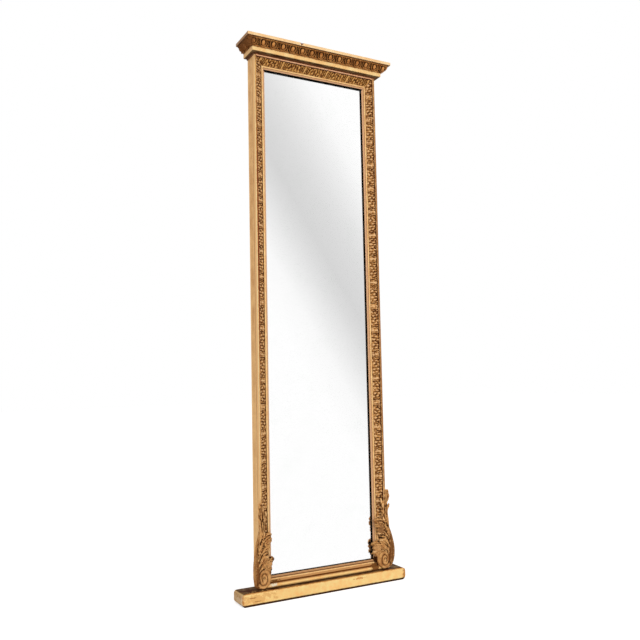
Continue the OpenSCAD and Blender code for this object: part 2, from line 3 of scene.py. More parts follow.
import bmesh
import bpy
import numpy as np
from mathutils import Euler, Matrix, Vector, noise


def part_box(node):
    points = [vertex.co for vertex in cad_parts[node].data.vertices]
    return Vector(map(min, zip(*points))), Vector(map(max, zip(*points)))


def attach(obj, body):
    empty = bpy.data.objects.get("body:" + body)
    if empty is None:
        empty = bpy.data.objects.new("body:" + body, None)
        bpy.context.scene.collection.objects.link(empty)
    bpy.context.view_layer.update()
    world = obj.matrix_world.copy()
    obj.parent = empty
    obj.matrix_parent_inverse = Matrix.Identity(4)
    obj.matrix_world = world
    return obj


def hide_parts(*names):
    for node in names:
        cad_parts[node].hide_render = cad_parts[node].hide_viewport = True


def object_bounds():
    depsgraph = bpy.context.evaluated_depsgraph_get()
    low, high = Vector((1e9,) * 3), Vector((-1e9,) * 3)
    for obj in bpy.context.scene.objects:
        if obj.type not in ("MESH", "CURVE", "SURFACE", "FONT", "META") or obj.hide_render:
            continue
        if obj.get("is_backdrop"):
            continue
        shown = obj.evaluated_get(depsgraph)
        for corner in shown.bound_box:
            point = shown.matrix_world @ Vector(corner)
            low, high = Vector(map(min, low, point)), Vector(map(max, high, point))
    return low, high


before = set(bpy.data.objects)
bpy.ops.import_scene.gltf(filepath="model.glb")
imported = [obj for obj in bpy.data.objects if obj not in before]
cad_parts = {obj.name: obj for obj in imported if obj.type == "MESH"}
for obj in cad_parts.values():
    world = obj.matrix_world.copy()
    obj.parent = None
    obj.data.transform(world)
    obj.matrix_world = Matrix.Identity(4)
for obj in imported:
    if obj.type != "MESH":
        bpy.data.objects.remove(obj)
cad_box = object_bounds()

scene = bpy.context.scene
scene.view_settings.view_transform = "Standard"

# ---- Camera ----
# A 40 mm view of the whole mirror from its left, a little over 0.8 m above the floor,
# turned 28 degrees towards the mirror and tipped up slightly.
camera_data = bpy.data.cameras.new("camera")
camera_data.lens = 40.185
camera_data.sensor_width = 36.0
camera_data.clip_end = 60.0
camera = bpy.data.objects.new("camera", camera_data)
camera.location = (-1.33353, -2.47438, 0.81334)
camera.rotation_euler = Euler((radians(94.6499), radians(1.1582), radians(-28.1290)), "XYZ")
scene.collection.objects.link(camera)
scene.camera = camera


# ---- Studio: floor, room and lamps ----
# A pale floor and a white room. Both show as white to the camera and in the glass, and the
# floor keeps the shadow of the plinth.
WHITE = (1.0, 1.0, 1.0, 1.0)
FLOOR_LIFT = 0.62
ROOM_LEVEL = 0.58


def tint(red, green, blue):
    """A colour as it shows on screen, 0 to 255, in linear light."""
    def linear(c):
        c = c / 255.0
        return c / 12.92 if c <= 0.04045 else ((c + 0.055) / 1.055) ** 2.4
    return (linear(red), linear(green), linear(blue), 1.0)


class Nodes:
    """The node tree of a material, a world or a node group, with short ways to add and link."""

    def __init__(self, tree):
        self.tree = tree

    def put(self, socket, value):
        if isinstance(value, bpy.types.Node):
            value = value.outputs[0]
        if isinstance(value, bpy.types.NodeSocket):
            self.tree.links.new(value, socket)
        else:
            socket.default_value = value

    def add(self, kind, values=None, **settings):
        node = self.tree.nodes.new(kind)
        for name, value in settings.items():
            setattr(node, name, value)
        for socket, value in (values or {}).items():
            self.put(node.inputs[socket], value)
        return node

    def math(self, operation, a, b=0.0, clamp=False):
        return self.add("ShaderNodeMath", {0: a, 1: b}, operation=operation, use_clamp=clamp)

    def scaled(self, value, times, plus):
        """A value times a factor, plus a start."""
        return self.add("ShaderNodeMath", {0: value, 1: times, 2: plus}, operation="MULTIPLY_ADD")

    def vector(self, operation, a, b=(0.0, 0.0, 0.0)):
        return self.add("ShaderNodeVectorMath", {0: a, 1: b}, operation=operation)

    def mix(self, factor, a, b):
        node = self.add("ShaderNodeMix", data_type="RGBA")
        for place, value in ((0, factor), (6, a), (7, b)):
            self.put(node.inputs[place], value)
        return node.outputs[2]

    def ramp(self, factor, stops):
        """Goes from tone to tone, or from level to level, at the places that the stops give."""
        node = self.add("ShaderNodeValToRGB", {0: factor})
        while len(node.color_ramp.elements) < len(stops):
            node.color_ramp.elements.new(0.5)
        for element, (place, value) in zip(node.color_ramp.elements, stops):
            element.position = place
            element.color = value if isinstance(value, tuple) else (value, value, value, 1.0)
        return node.outputs[0]

    def noise(self, vector, scale, detail=4.0, roughness=0.55):
        return self.add("ShaderNodeTexNoise", {"Vector": vector, "Scale": scale, "Detail": detail,
                                               "Roughness": roughness})

    def here(self):
        return self.add("ShaderNodeTexCoord").outputs["Object"]

    def in_gloss(self, path):
        """Marks what the glass and the gold reflect, as against what the camera sees."""
        return self.math("MAXIMUM", path["Is Glossy Ray"], path["Is Transmission Ray"])


def new_material(name):
    material = bpy.data.materials.new(name)
    material.use_nodes = True
    material.node_tree.nodes.clear()
    return material, Nodes(material.node_tree)


def stage_sheet(name, width, depth, material):
    mesh = bmesh.new()
    bmesh.ops.create_grid(mesh, x_segments=1, y_segments=1, size=0.5)
    bmesh.ops.scale(mesh, vec=(width, depth, 1.0), verts=mesh.verts)
    data = bpy.data.meshes.new(name)
    mesh.to_mesh(data)
    mesh.free()
    data.materials.append(material)
    sheet = bpy.data.objects.new(name, data)
    scene.collection.objects.link(sheet)
    sheet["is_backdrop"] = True
    return sheet


floor_material, n = new_material("studio_floor")
path = n.add("ShaderNodeLightPath").outputs
matte = n.add("ShaderNodeBsdfDiffuse", {"Color": tint(226, 226, 226)})
lift = n.add("ShaderNodeEmission", {"Color": WHITE, "Strength": FLOOR_LIFT})
lit = n.add("ShaderNodeAddShader", {0: matte, 1: lift})
glow = n.add("ShaderNodeEmission", {"Color": WHITE, "Strength": 1.0})
seen = n.add("ShaderNodeMixShader", {0: path["Is Camera Ray"], 1: matte, 2: lit})
whole = n.add("ShaderNodeMixShader", {0: n.in_gloss(path), 1: seen, 2: glow})
n.add("ShaderNodeOutputMaterial", {"Surface": whole})
stage_sheet("floor", 40.0, 40.0, floor_material)

# A soft grey fall-off across the studio wall, which only the glass and the gilding see: it
# lies as a slanting band over the mirror.
FALL_OFF_SLANT = 1.6
FALL_OFF_FROM = 4.091
FALL_OFF_W = 3.6
GREYS = [(0.0, 255), (0.154, 250), (0.227, 241), (0.299, 231), (0.372, 221), (0.444, 214), (0.517, 217),
         (0.589, 221), (0.662, 227), (0.771, 238), (0.880, 250), (0.988, 255)]
WALL_MIDDLE = Vector((2.3, -4.0, 2.85))
wall_material, n = new_material("studio_wall")
path = n.add("ShaderNodeLightPath").outputs
spot = n.add("ShaderNodeSeparateXYZ", {0: n.here()}).outputs
slant = n.scaled(spot["X"], FALL_OFF_SLANT, spot["Z"])
share = n.math("DIVIDE", n.math("SUBTRACT", slant, FALL_OFF_FROM), FALL_OFF_W)
tone = n.ramp(share, [(place, tint(grey, grey, grey)) for place, grey in GREYS])
glow = n.add("ShaderNodeEmission", {"Color": tone, "Strength": 1.0})
clear = n.add("ShaderNodeBsdfTransparent")
unseen = n.add("ShaderNodeMixShader", {0: n.in_gloss(path), 1: clear, 2: glow})
n.add("ShaderNodeOutputMaterial", {"Surface": unseen})
wall = stage_sheet("studio_wall", 3.4, 5.6, wall_material)
for vertex in wall.data.vertices:
    vertex.co = WALL_MIDDLE + Vector((vertex.co.x, 0.0, vertex.co.y))

world = bpy.data.worlds.new("room")
scene.world = world
world.use_nodes = True
world.node_tree.nodes.clear()
n = Nodes(world.node_tree)
path = n.add("ShaderNodeLightPath").outputs
direct = n.math("MAXIMUM", path["Is Camera Ray"], n.in_gloss(path))
level = n.scaled(direct, 1.0 - ROOM_LEVEL, ROOM_LEVEL)
room = n.add("ShaderNodeBackground", {"Color": WHITE, "Strength": level})
n.add("ShaderNodeOutputWorld", {"Surface": room})

LAMP_AIM = Vector((0.0, 0.0, 1.0))


def lamp(name, place, size, power):
    data = bpy.data.lights.new(name, "AREA")
    data.shape = "SQUARE"
    data.size = size
    data.energy = power
    light = bpy.data.objects.new(name, data)
    light.location = place
    light.rotation_euler = (LAMP_AIM - Vector(place)).to_track_quat("-Z", "Y").to_euler()
    light.visible_glossy = False
    light.visible_transmission = False
    scene.collection.objects.link(light)


lamp("key", (0.6, -4.2, 2.0), size=2.4, power=78.0)
lamp("side", (-3.6, -1.6, 1.6), size=2.0, power=24.0)


# ---- Pine carcass: rails, cornice block and glass blocks ----
# Old bare pine. The rails are tenoned into the stiles, the block behind the cornice is glued
# up to the top rail, and the small wedge blocks are rubbed in round the glass.
def new_group(name, inputs, outputs):
    """An effect that several finishes share: a node group with named inputs and outputs."""
    group = bpy.data.node_groups.new(name, "ShaderNodeTree")
    for way, sockets in (("INPUT", inputs), ("OUTPUT", outputs)):
        for socket, kind in sockets.items():
            group.interface.new_socket(socket, in_out=way, socket_type="NodeSocket" + kind)
    n = Nodes(group)
    return group, n, n.add("NodeGroupInput").outputs


pine_grain, n, given = new_group(
    "pine_grain", {"Place": "Vector", "Early wood": "Color", "Late wood": "Color", "Stain": "Color"},
    {"Color": "Color", "Surface": "Float"})
place = given["Place"]
wobble = n.add("ShaderNodeTexNoise", {"Vector": place, "Scale": 2.2, "Detail": 4.0})
shift = n.vector("MULTIPLY", wobble.outputs["Color"], (0.5, 0.5, 0.5))
rings = n.add("ShaderNodeTexWave", {"Vector": n.vector("ADD", place, shift), "Scale": 15.0, "Distortion": 7.0,
                                    "Detail": 3.0, "Detail Scale": 0.8}, bands_direction="Z")
faint = n.ramp(n.noise(place, 5.0, 3.0), [(0.35, 0.15), (0.65, 1.0)])
late = n.math("MULTIPLY", n.ramp(rings.outputs["Fac"], [(0.35, 0.0), (0.95, 1.0)]), faint)
wood = n.mix(late, given["Early wood"], given["Late wood"])
stains = n.ramp(n.noise(place, 7.0, 7.0, 0.7), [(0.45, 0.0), (0.72, 0.8)])
n.add("NodeGroupOutput", {"Color": n.mix(stains, wood, given["Stain"]),
                          "Surface": n.math("ADD", late, n.noise(place, 240.0))})


def tooth(n, height, strength, depth):
    """The small unevenness of a surface."""
    return n.add("ShaderNodeBump", {"Strength": strength, "Distance": depth, "Height": height})


def finish(n, values):
    """Ends a material with its surface."""
    n.add("ShaderNodeOutputMaterial", {"Surface": n.add("ShaderNodeBsdfPrincipled", values)})


def pine_outputs(n, early, late, stain, along):
    """Puts pine in a material; along shrinks the pattern the way that the board runs."""
    laid = n.add("ShaderNodeMapping", {"Vector": n.here(), "Scale": along})
    return n.add("ShaderNodeGroup", {"Place": laid, "Early wood": tint(*early), "Late wood": tint(*late),
                                     "Stain": tint(*stain)}, node_tree=pine_grain).outputs


def wooden(name, early, late, stain, along, rough):
    """A finish of bare pine."""
    material, n = new_material(name)
    wood = pine_outputs(n, early, late, stain, along)
    finish(n, {"Base Color": wood["Color"], "Roughness": rough,
               "Normal": tooth(n, wood["Surface"], 0.35, 0.0006)})
    return material


def finish_node(name, material):
    """Gives a piece that keeps its plain shape its finish."""
    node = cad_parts[name]
    node.data.materials.clear()
    node.data.materials.append(material)


PINE = ((196, 156, 104), (164, 118, 70), (120, 84, 48))
LEVEL = (0.06, 1.0, 1.0)
rail_pine = wooden("rail_pine", *PINE, LEVEL, 0.75)
for name in ("top_rail", "bottom_rail", "cornice_block", "glass_blocks"):
    finish_node(name, rail_pine)

# ---- Gilding ----
# Gold leaf over red-brown bole and white gesso. It is rubbed bright on high places, with painted highlight
# there as well, worn to the bole here and there, and darkened by painted shade in the hollows and by specks
# of grime.
gilding, n, given = new_group(
    "rubbed_gilding",
    {"Place": "Vector", "Leaf": "Color", "Deep leaf": "Color", "Bole": "Color", "Grime and shade": "Color",
     "Height": "Float", "Patch size": "Float", "Bole wear": "Float", "Grime and shade amount": "Float"},
    {"Color": "Color", "Roughness": "Float", "Gold": "Float", "Surface": "Float"})
place, size = given["Place"], given["Patch size"]
# The leaf lies in two tones, and is rubbed through to the bole in its roughest patches.
patches = n.noise(place, size, 6.0, 0.62)
fine = n.noise(place, n.math("MULTIPLY", size, 9.0), 5.0, 0.6)
blotch = n.scaled(patches, 0.7, n.math("MULTIPLY", fine, 0.3))
leaf = n.mix(n.ramp(blotch, [(0.36, 0.0), (0.62, 1.0)]), given["Leaf"], given["Deep leaf"])
rub = n.noise(place, n.math("MULTIPLY", size, 2.3), 8.0, 0.7)
wear_line = n.scaled(given["Bole wear"], -0.4, 0.86)
bare = n.math("MULTIPLY", n.math("SUBTRACT", rub, wear_line), 14.0, clamp=True)
worn = n.mix(bare, leaf, given["Bole"])
# Painted shade gathers in the hollows, and grime in specks.
hollow = n.math("SUBTRACT", 1.0, given["Height"])
speck = n.noise(place, n.math("MULTIPLY", size, 14.0), 4.0, 0.7)
shade_and_specks = n.scaled(hollow, 1.5, n.math("MULTIPLY", n.math("SUBTRACT", speck, 0.62), 3.0))
shade_and_dirt = n.math("ADD", n.math("MULTIPLY", shade_and_specks, 0.8),
              n.math("SUBTRACT", given["Grime and shade amount"], 0.3), clamp=True)
gold = n.math("MULTIPLY", n.math("SUBTRACT", 1.0, shade_and_dirt), n.math("SUBTRACT", 1.0, bare))
rough = n.scaled(shade_and_dirt, 0.38, n.scaled(patches, 0.16, 0.36))
surface = n.scaled(fine, 0.5, n.scaled(patches, 0.6, n.math("MULTIPLY", bare, -0.3)))
n.add("NodeGroupOutput", {"Color": n.mix(shade_and_dirt, worn, given["Grime and shade"]), "Roughness": rough, "Gold": gold,
                          "Surface": surface})

# A ragged patch round a place: a chip, a rub or a stain. Noise tears its edge.
ragged_patch, n, given = new_group(
    "ragged_patch",
    {"Place": "Vector", "Centre": "Vector", "Size": "Vector", "Grain": "Float", "Raggedness": "Float"},
    {"Mask": "Float"})
off = n.vector("SUBTRACT", given["Place"], given["Centre"])
far_off = n.vector("LENGTH", n.vector("DIVIDE", off, given["Size"])).outputs["Value"]
torn = n.math("MULTIPLY", n.math("SUBTRACT", n.noise(given["Place"], given["Grain"], 5.0, 0.65), 0.5),
              given["Raggedness"])
inside = n.math("ADD", n.math("SUBTRACT", 1.0, far_off), torn)
n.add("NodeGroupOutput", {"Mask": n.math("MULTIPLY", inside, 4.0, clamp=True)})


def gilding_outputs(n, spot, height, leaf, deep, bole, dirt_and_shade_tone, patch, wear, shade_and_dirt):
    """Puts the gilding in a material."""
    return n.add("ShaderNodeGroup", {
        "Place": spot, "Height": height, "Leaf": tint(*leaf), "Deep leaf": tint(*deep),
        "Bole": tint(*bole), "Grime and shade": tint(*dirt_and_shade_tone), "Patch size": patch, "Bole wear": wear,
        "Grime and shade amount": shade_and_dirt}, node_tree=gilding).outputs


def facing_of(n):
    """The way that the surface faces, in its three parts."""
    normal = n.add("ShaderNodeTexCoord").outputs["Normal"]
    return n.add("ShaderNodeSeparateXYZ", {0: normal}).outputs


BOLE = (158, 92, 44)
DIRT_AND_SHADE = (74, 40, 12)
GOLD_SPECULAR = 0.16
DULL_ROUGH = 0.85
PAINTED_LIGHT_SIDES = {"top": ("Z", 1.0), "under": ("Z", -1.0), "left": ("X", -1.0), "right": ("X", 1.0),
           "behind": ("Y", 1.0)}


def gilded(name, leaf, deep, *, patch, wear, shade_and_dirt, crevice, bole=BOLE, dirt_and_shade_tone=DIRT_AND_SHADE, metal=0.35, bump=0.25,
           carved=False, crest_highlight=None, marks=(), paired=(), **sides):
    """A gilded finish. Hollows darken with painted shade by nearness and, on carving, by the mesh's own
    relief.

    A paler tone on the high places of carving is a painted highlight, and a side named in PAINTED_LIGHT_SIDES
    can have a tone of painted light or shade.
    Marks are worn or stained patches, or painted shade and highlights, each a tone, a centre, its reach three
    ways, a grain and a raggedness; paired ones lie alike on both halves of the mirror."""
    material, n = new_material(name)
    spot = n.here()
    # Nearness and, on carving, the relief darken the hollows with painted shade.
    near = n.add("ShaderNodeAmbientOcclusion", {"Distance": crevice}, samples=6)
    height = n.math("POWER", near.outputs["AO"], 1.3)
    if carved:
        relief = n.add("ShaderNodeAttribute", attribute_name="relief").outputs["Fac"]
        height = n.math("MULTIPLY", height, n.ramp(relief, [(0.12, 0.0), (0.5, 0.78), (0.9, 1.0)]))
    out = gilding_outputs(n, spot, height, leaf, deep, bole, dirt_and_shade_tone, patch, wear, shade_and_dirt)
    colour = out["Color"]
    # Painted highlight on the high places of carving.
    if carved and crest_highlight:
        colour = n.mix(n.ramp(relief, [(0.66, 0.0), (0.95, 0.75)]), colour, tint(*crest_highlight))
    # Painted light or shade on each side named in PAINTED_LIGHT_SIDES, by the way that it faces.
    facing = facing_of(n)
    dull = 0.0
    for side, (axis, sign) in PAINTED_LIGHT_SIDES.items():
        if side in sides:
            flat = n.ramp(n.math("MULTIPLY", facing[axis], sign), [(0.55, 0.0), (0.92, 1.0)])
            patchy = n.ramp(n.noise(spot, 24.0, 6.0, 0.65), [(0.2, 0.72), (0.62, 1.0)])
            cover = n.math("MULTIPLY", flat, patchy)
            colour = n.mix(cover, colour, tint(*sides[side]))
            dull = n.math("MAXIMUM", cover, dull)
    x, y, z = n.add("ShaderNodeSeparateXYZ", {0: spot}).outputs
    folded = n.add("ShaderNodeCombineXYZ", {0: n.math("ABSOLUTE", x), 1: y, 2: z})
    for where, patches in ((spot, marks), (folded, paired)):
        for tone, centre, size, grain, raggedness in patches:
            mask = n.add("ShaderNodeGroup", {"Place": where, "Centre": centre, "Size": size, "Grain": grain,
                                             "Raggedness": raggedness}, node_tree=ragged_patch)
            colour = n.mix(mask, colour, tint(*tone))
            dull = n.math("MAXIMUM", mask, dull)
    shiny = n.math("MULTIPLY", out["Gold"], n.math("SUBTRACT", 1.0, dull))
    finish(n, {"Base Color": colour, "Metallic": n.math("MULTIPLY", shiny, metal),
               "Roughness": n.math("MAXIMUM", out["Roughness"], n.math("MULTIPLY", dull, DULL_ROUGH)),
               "Specular IOR Level": GOLD_SPECULAR, "Normal": tooth(n, out["Surface"], bump, 0.0012)})
    return material


# ---- Stiles ----
# Two pine boards on edge, whose outer sides are thinly gilded over ochre. Their backs and
# inner faces are bare wood, with pockets for the hangers.
UPRIGHT = (1.0, 1.0, 0.06)
STILE_D = 0.044
GILT_SKIN = 0.0006
SIDE_HIGHLIGHT_CREAM, SIDE_WARM, FRONT_SHADE_TONE = tint(252, 206, 142), tint(255, 208, 138), tint(52, 28, 12)
BACK = cad_box[1][1]
FRAME_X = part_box("right_ground")[1].x
stile_finish, n = new_material("stile_finish")
spot = n.here()
# Nearness darkens the hollows of the gilded side with painted shade.
near = n.add("ShaderNodeAmbientOcclusion", {"Distance": 0.02}, samples=6)
coat = gilding_outputs(n, spot, near.outputs["AO"], (238, 188, 120), (206, 148, 82), (196, 134, 74),
                       (112, 68, 30), 16.0, 0.44, 0.26)
wood = pine_outputs(n, *PINE, UPRIGHT)["Color"]
x, y, z = n.add("ShaderNodeSeparateXYZ", {0: spot}).outputs
outer = n.math("GREATER_THAN", n.math("ABSOLUTE", x), FRAME_X - GILT_SKIN)
low_down = n.ramp(n.math("DIVIDE", z, 2.0), [(0.1, 1.0), (0.55, 0.0)])
warm = n.mix(n.math("MULTIPLY", low_down, 0.4), coat["Color"], SIDE_WARM)
from_wall = n.math("DIVIDE", n.math("SUBTRACT", BACK, y), STILE_D)
uneven = n.scaled(n.math("SUBTRACT", n.noise(spot, 12.0), 0.5), 0.5, from_wall)
# Painted highlight: a cream band along the back and front edges of the gilded side.
cream_edge_highlight = n.ramp(uneven, [(0.04, 0.9), (0.22, 0.0), (0.74, 0.0), (0.95, 0.5)])
# Painted shade: bare wood facing forward shows only in shaded gaps, so it is painted dark.
shaded_front = n.math("MULTIPLY", n.math("LESS_THAN", facing_of(n)["Y"], -0.5), 0.85)
finish(n, {"Base Color": n.mix(outer, n.mix(shaded_front, wood, FRONT_SHADE_TONE), n.mix(cream_edge_highlight, warm, SIDE_HIGHLIGHT_CREAM)),
           "Metallic": n.math("MULTIPLY", n.math("MULTIPLY", coat["Gold"], outer), 0.3),
           "Roughness": 0.6, "Normal": tooth(n, coat["Surface"], 0.3, 0.0008)})
for name in ("left_stile", "right_stile"):
    finish_node(name, stile_finish)

# ---- Sloping grounds with their outer beads ----
# Planed pine mouldings, mitred at the top corners and glued to the stiles and top rail. The
# slope carries the carving, and the round outer bead is burnished and worn, with painted highlight and shade
# on its sides.
FRAME_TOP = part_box("top_ground")[1].z
BAND_IN, BAND_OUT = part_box("right_carved_band")[0].x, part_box("right_carved_band")[1].x
SIGHT_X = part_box("right_sight_edge")[0].x
SIGHT_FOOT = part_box("right_sight_edge")[0].z
CARCASS_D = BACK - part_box("top_sight_edge")[1].y
GROUND_D = CARCASS_D + 0.002
GROUND_RISE = 0.015
BEAD_R = (FRAME_X - BAND_OUT) / 2
BEAD_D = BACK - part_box("right_ground")[0].y
FACE_W = FRAME_X - SIGHT_X
CORNER = (SIGHT_X, FRAME_TOP - FACE_W)
SIGHT_W = BAND_IN - SIGHT_X
LIP_AT = FACE_W - SIGHT_W


def member(side):
    """Places a point of one side of the frame: inwards from its outer edge, forward, and along."""
    if side == "top":
        return lambda inwards, out, along: Vector((along, BACK - out, FRAME_TOP - inwards))
    if side == "bottom":
        return lambda inwards, out, along: Vector((along, BACK - out, SIGHT_FOOT + inwards - LIP_AT))
    sign = 1 if side == "right" else -1
    return lambda inwards, out, along: Vector((sign * (FRAME_X - inwards), BACK - out, along))


def mitres(side):
    """Saw cuts at the ends of one side of the frame: a point, and the way the waste lies."""
    x, z = CORNER
    foot = SIGHT_FOOT + SIGHT_W
    if side == "top":
        return [((x, 0, z), (1, 0, -1)), ((-x, 0, z), (-1, 0, -1))]
    if side == "bottom":
        return [((x, 0, foot), (1, 0, 1)), ((-x, 0, foot), (-1, 0, 1))]
    sign = 1 if side == "right" else -1
    return [((sign * x, 0, z), (-sign, 0, 1)), ((sign * x, 0, foot), (-sign, 0, -1))]


def run_along(section, put, start, stop):
    """A straight moulding: its section is drawn at one end and pulled out to the other."""
    mesh = bmesh.new()
    face = mesh.faces.new([mesh.verts.new(put(*point, start)) for point in section])
    pushed = bmesh.ops.extrude_face_region(mesh, geom=[face])["geom"]
    bmesh.ops.translate(mesh, vec=put(0.0, 0.0, stop) - put(0.0, 0.0, start),
                        verts=[v for v in pushed if isinstance(v, bmesh.types.BMVert)])
    bmesh.ops.recalc_face_normals(mesh, faces=mesh.faces)
    return mesh


def slice_mesh(mesh, axis, start, stop, step):
    """Cuts a mesh across an axis at even places, so that it can be worn out of true."""
    normal = Vector((axis == 0, axis == 1, axis == 2))
    count = max(1, int((stop - start) / step))
    for i in range(1, count):
        bmesh.ops.bisect_plane(mesh, geom=mesh.verts[:] + mesh.edges[:] + mesh.faces[:],
                               plane_co=normal * (start + (stop - start) * i / count), plane_no=normal)


def saw(mesh, cuts):
    """Saws the ends off a moulding and closes the cuts."""
    for at, waste in cuts:
        bmesh.ops.bisect_plane(mesh, geom=mesh.verts[:] + mesh.edges[:] + mesh.faces[:],
                               plane_co=at, plane_no=waste, clear_outer=True)
        bmesh.ops.holes_fill(mesh, edges=[e for e in mesh.edges if e.is_boundary], sides=0)


def wear(mesh, depth, scale, seed):
    """Moves a surface inwards by noise, never out past where it was."""
    mesh.normal_update()
    for vertex in mesh.verts:
        amount = depth * (0.5 + 0.5 * noise.fractal(vertex.co * scale + Vector(seed), 1.0, 2.0, 3))
        vertex.co -= vertex.normal * max(0.0, amount)


def mark_relief(data, spread, depth):
    """Marks each point of carving from 0 in a hollow to 1 on a high place, against its surroundings."""
    count = len(data.vertices)
    spots = np.empty(count * 3)
    data.vertices.foreach_get("co", spots)
    spots = spots.reshape(-1, 3)
    normals = np.empty(count * 3, np.float32)
    data.vertex_normals.foreach_get("vector", normals)
    ends = np.empty(len(data.edges) * 2, np.int64)
    data.edges.foreach_get("vertices", ends)
    first, second = np.concatenate((ends[0::2], ends[1::2])), np.concatenate((ends[1::2], ends[0::2]))
    links = np.maximum(np.bincount(first, minlength=count), 1)[:, None]
    smooth = spots.copy()
    for _ in range(spread):
        smooth = np.stack([np.bincount(first, smooth[second, k], count) for k in range(3)], 1) / links
    rise = ((spots - smooth) * normals.reshape(-1, 3)).sum(1) / depth
    relief = data.attributes.new("relief", "FLOAT", "POINT")
    relief.data.foreach_set("value", np.clip(0.5 + 0.5 * rise, 0.0, 1.0).astype(np.float32))


def to_piece(name, mesh, material, slot, *nodes, smooth=35.0, relief=None):
    """Makes a finished piece of a mesh, and hides the plain parts that it stands for."""
    bmesh.ops.recalc_face_normals(mesh, faces=mesh.faces)
    data = bpy.data.meshes.new(name)
    mesh.to_mesh(data)
    mesh.free()
    data.polygons.foreach_set("use_smooth", [True] * len(data.polygons))
    data.set_sharp_from_angle(angle=radians(smooth))
    if relief:
        mark_relief(data, *relief)
    data.materials.append(material)
    piece = bpy.data.objects.new(name, data)
    scene.collection.objects.link(piece)
    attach(piece, "root")
    if nodes:
        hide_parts(*nodes)
    return piece


def arc(across, out, radius_a, radius_o, first, last, steps):
    """Points on a round stretch of a section, between two angles in degrees."""
    turns = [radians(first + (last - first) * i / steps) for i in range(steps + 1)]
    return [(across + radius_a * cos(p), out + radius_o * sin(p)) for p in turns]


def moulding(node, section, put, axis, cuts, step):
    """A run of moulding as long as the solid it stands for, sawn to its mitres; and where it starts."""
    low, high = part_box(node)
    mesh = run_along(section, put, low[axis], high[axis])
    saw(mesh, cuts)
    slice_mesh(mesh, axis, low[axis], high[axis], step)
    return mesh, low[axis]


ground_section = ([(0.0, CARCASS_D)] + arc(BEAD_R, BEAD_D - BEAD_R, -BEAD_R, BEAD_R, 0, 180, 14)
                  + [(2 * BEAD_R, GROUND_D + GROUND_RISE), (LIP_AT, GROUND_D), (LIP_AT, CARCASS_D)])
# A mark that reaches as far as ANY has no end that way.
ANY = 9.0
MID_Z = 1.2
RUBBED = (138, 68, 34)
# Painted light on the beads: the undersides and right-facing sides take painted shade. The left-facing sides,
# and a cream line along the left bead's crown, take painted highlight.
bead_gilt = gilded(
    "bead_gilding", (236, 184, 112), (190, 130, 68), patch=34.0, wear=0.44, shade_and_dirt=0.32, crevice=0.010,
    under=(120, 72, 36), right=(146, 102, 60), left=(252, 198, 134),
    marks=[(RUBBED, (-BAND_OUT, 0.0, 1.36), (0.0044, 0.05, 0.66), 90.0, 1.1),
           ((252, 222, 166), (-FRAME_X, BACK - BEAD_D + 0.003, MID_Z), (0.0032, 0.0034, 1.1), 60.0, 0.6),
           ((148, 94, 46), (-FRAME_X, BACK - CARCASS_D, MID_Z), (0.01, 0.0036, 1.3), 60.0, 0.7),
           ((172, 118, 68), (FRAME_X - BEAD_R, BACK - BEAD_D, MID_Z), (0.0042, 0.02, 1.2), 60.0, 1.6)])
# The top bead is a lit copy of the bead gilding: a paler, pinker leaf as painted highlight, with painted
# shade on its top under the cornice.
top_bead_light_shade_gilt = gilded(
    "top_bead_painted_light", (255, 202, 158), (240, 172, 122), dirt_and_shade_tone=(50, 22, 6), patch=34.0, wear=0.42,
    shade_and_dirt=0.28, crevice=0.004, metal=0.05, top=(70, 36, 14))
for side in ("left", "right", "top"):
    node = side + "_ground"
    axis = 0 if side == "top" else 2
    mesh, start = moulding(node, ground_section, member(side), axis, mitres(side), 0.014)
    wear(mesh, 0.0005, 55.0, (1.0, 2.0, start))
    to_piece(node, mesh, top_bead_light_shade_gilt if side == "top" else bead_gilt, "gilt_plain", node)

# ---- Carved bands ----
# Strips of composition ornament pressed in boxwood moulds: a smooth tongue, then an acanthus
# leaf of six fingers, all with their tips towards the glass. They are sprigged to the grounds.
REPEAT = 0.0987
TONGUE_Z = 0.907
TONGUE_HALF = 0.0095
TONGUE_FLARE = 0.0045
TONGUE_LIFT = 0.92
CHANNEL_W = 0.0018
GAP_W = 0.0008
GAP_FLARE = 0.0032
FINGER = 0.0112
STRIP_T = 0.0015
BAND_RELIEF = 0.004
BAND_GRAIN = 0.0013
TOP_LEAN = 0.006
SLOPE = hypot(BAND_OUT - BAND_IN, GROUND_RISE) / (BAND_OUT - BAND_IN)


def bump_at(value, middle, width):
    return exp(-((value - middle) / width) ** 2)


def band_height(along, across, channel):
    """Height of the ornament, 0 to 1: along from the middle of a tongue, across from -1 to 1.

    A channel of that depth runs down each side of the tongue."""
    stray = noise.noise(Vector((along * 40.0, across * 2.0, 3.0)))
    u = abs(((along + 0.003 * stray) / REPEAT + 0.5) % 1.0 - 0.5) * REPEAT
    outward = 0.5 + 0.5 * across
    tip = sqrt(max(0.0, min(1.0, (outward - 0.03) / 0.2)))
    half = TONGUE_HALF + TONGUE_FLARE * outward
    # A tongue is flat with rounded sides. Between two tongues the fingers fan out from the
    # middle, and each swells and dips along its length.
    if u < half:
        round_top = sqrt(1.0 - (u / half) ** 4)
        return round_top * tip * (TONGUE_LIFT - channel * bump_at(u, 0.52 * half, CHANNEL_W))
    gap = half + GAP_W + GAP_FLARE * (1.0 - outward)
    if u < gap:
        return 0.0
    fan = (REPEAT / 2 - u) / (0.86 + 0.3 * (1.0 - outward)) + 0.0022 * stray
    finger = abs(cos(pi * fan / FINGER)) ** 1.2
    curl = 0.64 + 0.36 * cos(2 * pi * (2.0 * outward + 0.41 * round(fan / FINGER)))
    return finger * curl * tip * min(1.0, (u - gap) / 0.002)


